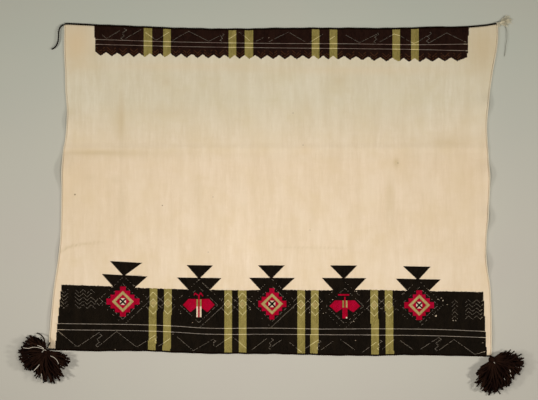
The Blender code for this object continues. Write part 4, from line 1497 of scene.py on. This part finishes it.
def build_edge_cords(tree, wool, cotton):
    """The dark cords in the top and bottom edges, and the white ones at the sides."""
    pieces = []
    for which, material, slot, radius in (
        ("top", wool, "wool_cord", WOOL_CORD_RADIUS),
        ("bottom", wool, "wool_cord", WOOL_CORD_RADIUS),
        ("left", cotton, "cotton_cord", COTTON_CORD_RADIUS),
        ("right", cotton, "cotton_cord", COTTON_CORD_RADIUS),
    ):
        node = which + "_edge_cord"
        paths = [(edge_path(which, radius), 1.0, 0.5)]
        piece = plied(node + "_plied", paths, material, tree, radius, EDGE_TWIST, EDGE_STEP)
        pieces.append((piece, node, slot))
    return pieces


def build_free_end(name, node, route, radius, ply_radius, twist, material, slot, tree):
    """One cord with a bare end: the dark tie or the white thread."""
    flat = smooth_path(route, 3.0)
    arch = TIE_ARCH * np.sin(np.linspace(0.0, math.pi, len(flat)))
    path = raised(flat, ply_radius + arch)
    thick = np.ones(len(path))
    thick[-1] = FREE_END_TAPER
    piece = plied(name, [(path, thick, 0.5)], material, tree, ply_radius, twist, FREE_END_STEP)
    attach(piece, BODY)
    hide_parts(node)


def crest_height(size, layer, out):
    """How high a layer of yarns lies at a share of the bunch's span from its head."""
    return layer * size["layer_height"] * (1 + 0.3 * np.sin(np.pi * np.minimum(1.0, out)))


def radial_path(size, bearing, reach, layer, rng):
    """A yarn from inside the head out to its cut end, arching over the ones below it."""
    head_x, head_y = size["head"]
    steps = np.linspace(0.0, 1.0, YARN_POINTS)
    inner = HEAD_RADIUS * YARN_START
    distance = inner + (reach - inner) * steps
    out = distance / BUNCH_SPAN
    sway = size["sway"] * math.sin(3 * bearing + 1.7 * layer) * out**2
    tangle = TANGLE + TANGLE_GROWTH * layer
    swerve = rng.uniform(-tangle, tangle) * out**2
    curl = swerve + 0.35 * rng.uniform(-tangle, tangle) * np.sin(steps * 5.0)
    angle = bearing + sway + curl
    crest = crest_height(size, layer, out)
    z = YARN_RADIUS + crest * (1 - DROOP * steps**2) + rng.uniform(*YARN_BOB) * np.sin(steps * 4.0)
    x = head_x + distance * np.cos(angle)
    y = head_y + distance * np.sin(angle)
    return np.stack([x, y, np.maximum(z, YARN_RADIUS * (1 + 0.4 * steps))], -1)


def fanned_yarns(size, rng):
    """The yarns of a tassel in layers, each as long as its bunch is on that side."""
    first, last = (math.radians(angle) for angle in size["fan"])
    paths = []
    for layer in range(size["layers"]):
        for number in range(size["columns"]):
            place = number + 0.5 * (layer % 2) + 0.5 + rng.uniform(-COLUMN_STRAY, COLUMN_STRAY)
            bearing = first + (last - first) * (place / (size["columns"] + 0.5))
            cut = 1.01 - 0.015 * layer - YARN_SHORTER * rng.random() ** 1.2
            reach = float(smooth(size["reach"], math.degrees(bearing))) * cut
            path = radial_path(size, bearing, reach, layer, rng)
            thick = np.interp(np.linspace(0, 1, len(path)), *YARN_PROFILE)
            paths.append((path, thick * rng.uniform(*YARN_VARIETY), rng.random()))
    return paths


def wrapped_head(size, crown):
    """The yarn wound round a tassel's neck, and the overhand knot on top of it."""
    head_x, head_y = size["head"]
    angle = np.linspace(0, math.tau, 28)
    paths = []
    for turn in range(HEAD_TURNS + 1):
        rise = 2.5 + (crown - 2.0) * turn / HEAD_TURNS
        radius = HEAD_RADIUS * (0.98 - 0.32 * (turn / HEAD_TURNS) ** 3) + 0.3 * np.sin(3 * angle + turn)
        x = head_x + radius * np.cos(angle)
        y = head_y + radius * np.sin(angle)
        paths.append((np.stack([x, y, rise + 0.8 * np.sin(angle + turn)], -1), 1.0, 0.7))
    paths.append((overhand(KNOT_SIZE, (head_x, head_y, crown + 1.6), 0.6), 1.15, 0.9))
    return paths


def build_tassel(name, size, loose, whites, tree, wool, white):
    """A tied head, the yarns fanned out from it, the loose ones that curl away, and a few white ones."""
    rng = random.Random(size["seed"])
    crown = size["layers"] * size["layer_height"]
    paths = fanned_yarns(size, rng) + wrapped_head(size, crown)
    for curl in loose:
        flat = smooth_path(curl, 4.0)
        z = YARN_RADIUS + crown * (1 - np.linspace(0, 1, len(flat)) ** 1.5)
        paths.append((raised(flat + size["head"], z), 1.05, 0.9))
    dark = plied(name + "_yarns", paths, wool, tree, YARN_RADIUS, YARN_TWIST, YARN_STEP, 6)
    pale = []
    for curl in whites:
        flat = smooth_path(curl, 3.0)
        out = np.hypot(flat[:, 0], flat[:, 1]) / BUNCH_SPAN
        z = 2 * YARN_RADIUS + 1.5 + crest_height(size, size["layers"] - 1, out) * (1 - DROOP * out**2)
        pale.append((raised(flat + size["head"], z), 1.0, rng.uniform(0.4, 1.0)))
    light = plied(name + "_white_yarns", pale, white, tree, WHITE_YARN_RADIUS, 7.0, 2.0, 6)
    return dark, light


def overhand(size, middle, flatness):
    """A closed overhand knot seen from above."""
    t = np.linspace(0, math.tau, 60)
    x = np.sin(t) + 2 * np.sin(2 * t)
    y = np.cos(t) - 2 * np.cos(2 * t)
    z = -np.sin(3 * t) * flatness
    return np.array(middle) + np.stack([x, y, z], -1) * (size / 3)


def frayed_thread(rng):
    """A thin thread that wanders out from the tuft's knot, with its thickness and its tone."""
    first, last = (math.radians(angle) for angle in TUFT_FAN)
    bearing = first + (last - first) * rng.random()
    reach = float(smooth(TUFT_REACH, math.degrees(bearing))) * rng.uniform(0.6, 1.08)
    steps = np.linspace(0, 1, YARN_POINTS)
    distance = TUFT_START + (reach - TUFT_START) * steps
    swerve = rng.uniform(-0.25, 0.25) * steps**1.5
    angle = bearing + (swerve + 0.10 * np.sin(steps * rng.uniform(5, 10) + rng.uniform(0, 6)))
    top = rng.uniform(*TUFT_HEIGHTS)
    z = 1.0 + top * np.sin(np.pi * (0.35 + 0.6 * steps)) * (1 - 0.45 * steps)
    x = TUFT_HEAD[0] + distance * np.cos(angle)
    y = TUFT_HEAD[1] + distance * np.sin(angle)
    # Some threads are dark: dirt, and painted shade of the gaps in the tuft
    tone = rng.uniform(*TUFT_CLEAN) if rng.random() < TUFT_CLEAN_SHARE else rng.uniform(*TUFT_DIRT_AND_SHADE)
    return np.stack([x, y, z], -1), rng.uniform(0.8, 1.5), tone


def build_tuft(tree, cotton):
    """The frayed end of the white cord: a small knot and the threads that spread from it."""
    rng = random.Random(TUFT_SEED)
    x0, y0 = TUFT_HEAD
    paths = []
    for dx, dy, z, size, thick, tone in TUFT_LOOPS:
        paths.append((overhand(size, (x0 + dx, y0 + dy, z), 1.0), thick, tone))
    paths += [frayed_thread(rng) for _ in range(TUFT_THREADS)]
    return plied("frayed_tuft", paths, cotton, tree, TUFT_THREAD_RADIUS, 6.0, 1.8, 6)


def main():
    build_stage()
    plies = plied_tree()
    # Plied wool cord: brown-black, hard-twisted and without any gloss
    wool_cord = stitched_wool("plied_wool_cord", "0f0703", "170c06", "1e120a", (0.8, 0.8, 0.8), 0.0)
    # Cotton cord, cream and soft
    cotton_cord = stitched_wool("plied_cotton_cord", "e0d2b8", "efe3cd", "e9dcc4", (0.9, 0.9, 0.9))
    # Thick soft tassel yarn, brown-black with a trace of red
    yarn = stitched_wool("soft_wool_yarn", "100705", "261610", "3c261a", (0.9, 0.9, 0.9))
    # White yarn, some of it dusty
    white_yarn = stitched_wool("white_tassel_yarn", "b4a898", "eee4d4", "dccfbd", (0.8, 0.8, 0.8))
    # The frayed cotton: pale threads, and dark ones that are dirt and painted shade of the gaps between them
    frayed = stitched_wool("frayed_cotton", "6e6349", "fff6dc", "f4ebcc", (0.9, 0.9, 0.9))
    # The white cotton thread, painted dark grey: its colour stands in for the shadow that it casts
    thread = stitched_wool("thread_dark_as_its_shadow", "514b3b", "6f674f", "605946", (0.9, 0.9, 0.9))
    tie = (TIE_ROUTE, TIE_RADIUS, TIE_PLY_RADIUS, TIE_TWIST, wool_cord, "wool_cord")
    build_free_end("corner_tie", "tie_top_left", *tie, plies)
    loose_thread = (THREAD_ROUTE, THREAD_RADIUS, THREAD_RADIUS, THREAD_TWIST, thread, "cotton_cord")
    build_free_end("corner_thread", "thread_top_right", *loose_thread, plies)

    cotton = handspun_cotton()
    cloth = build_cloth(cotton)
    threads = build_line_threads(plies)
    embroidery = [(threads, "embroidery_cream"), *build_embroidery(stitch_tree())]
    for piece, slot in embroidery:
        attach(piece, BODY)
    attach(cloth, BODY)
    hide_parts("cloth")

    for piece, node, slot in build_edge_cords(plies, wool_cord, cotton_cord):
        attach(piece, BODY)
        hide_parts(node)
    for node, size, loose, whites in (
        ("tassel_left", LEFT_TASSEL, LEFT_LOOSE, LEFT_WHITE),
        ("tassel_right", RIGHT_TASSEL, RIGHT_LOOSE, RIGHT_WHITE),
    ):
        for number, piece in enumerate(build_tassel(node, size, loose, whites, plies, yarn, white_yarn)):
            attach(piece, BODY)
            if number == 0:
                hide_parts(node)
    tuft = build_tuft(plies, frayed)
    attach(tuft, BODY)
    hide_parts("tuft_top_right")


main()
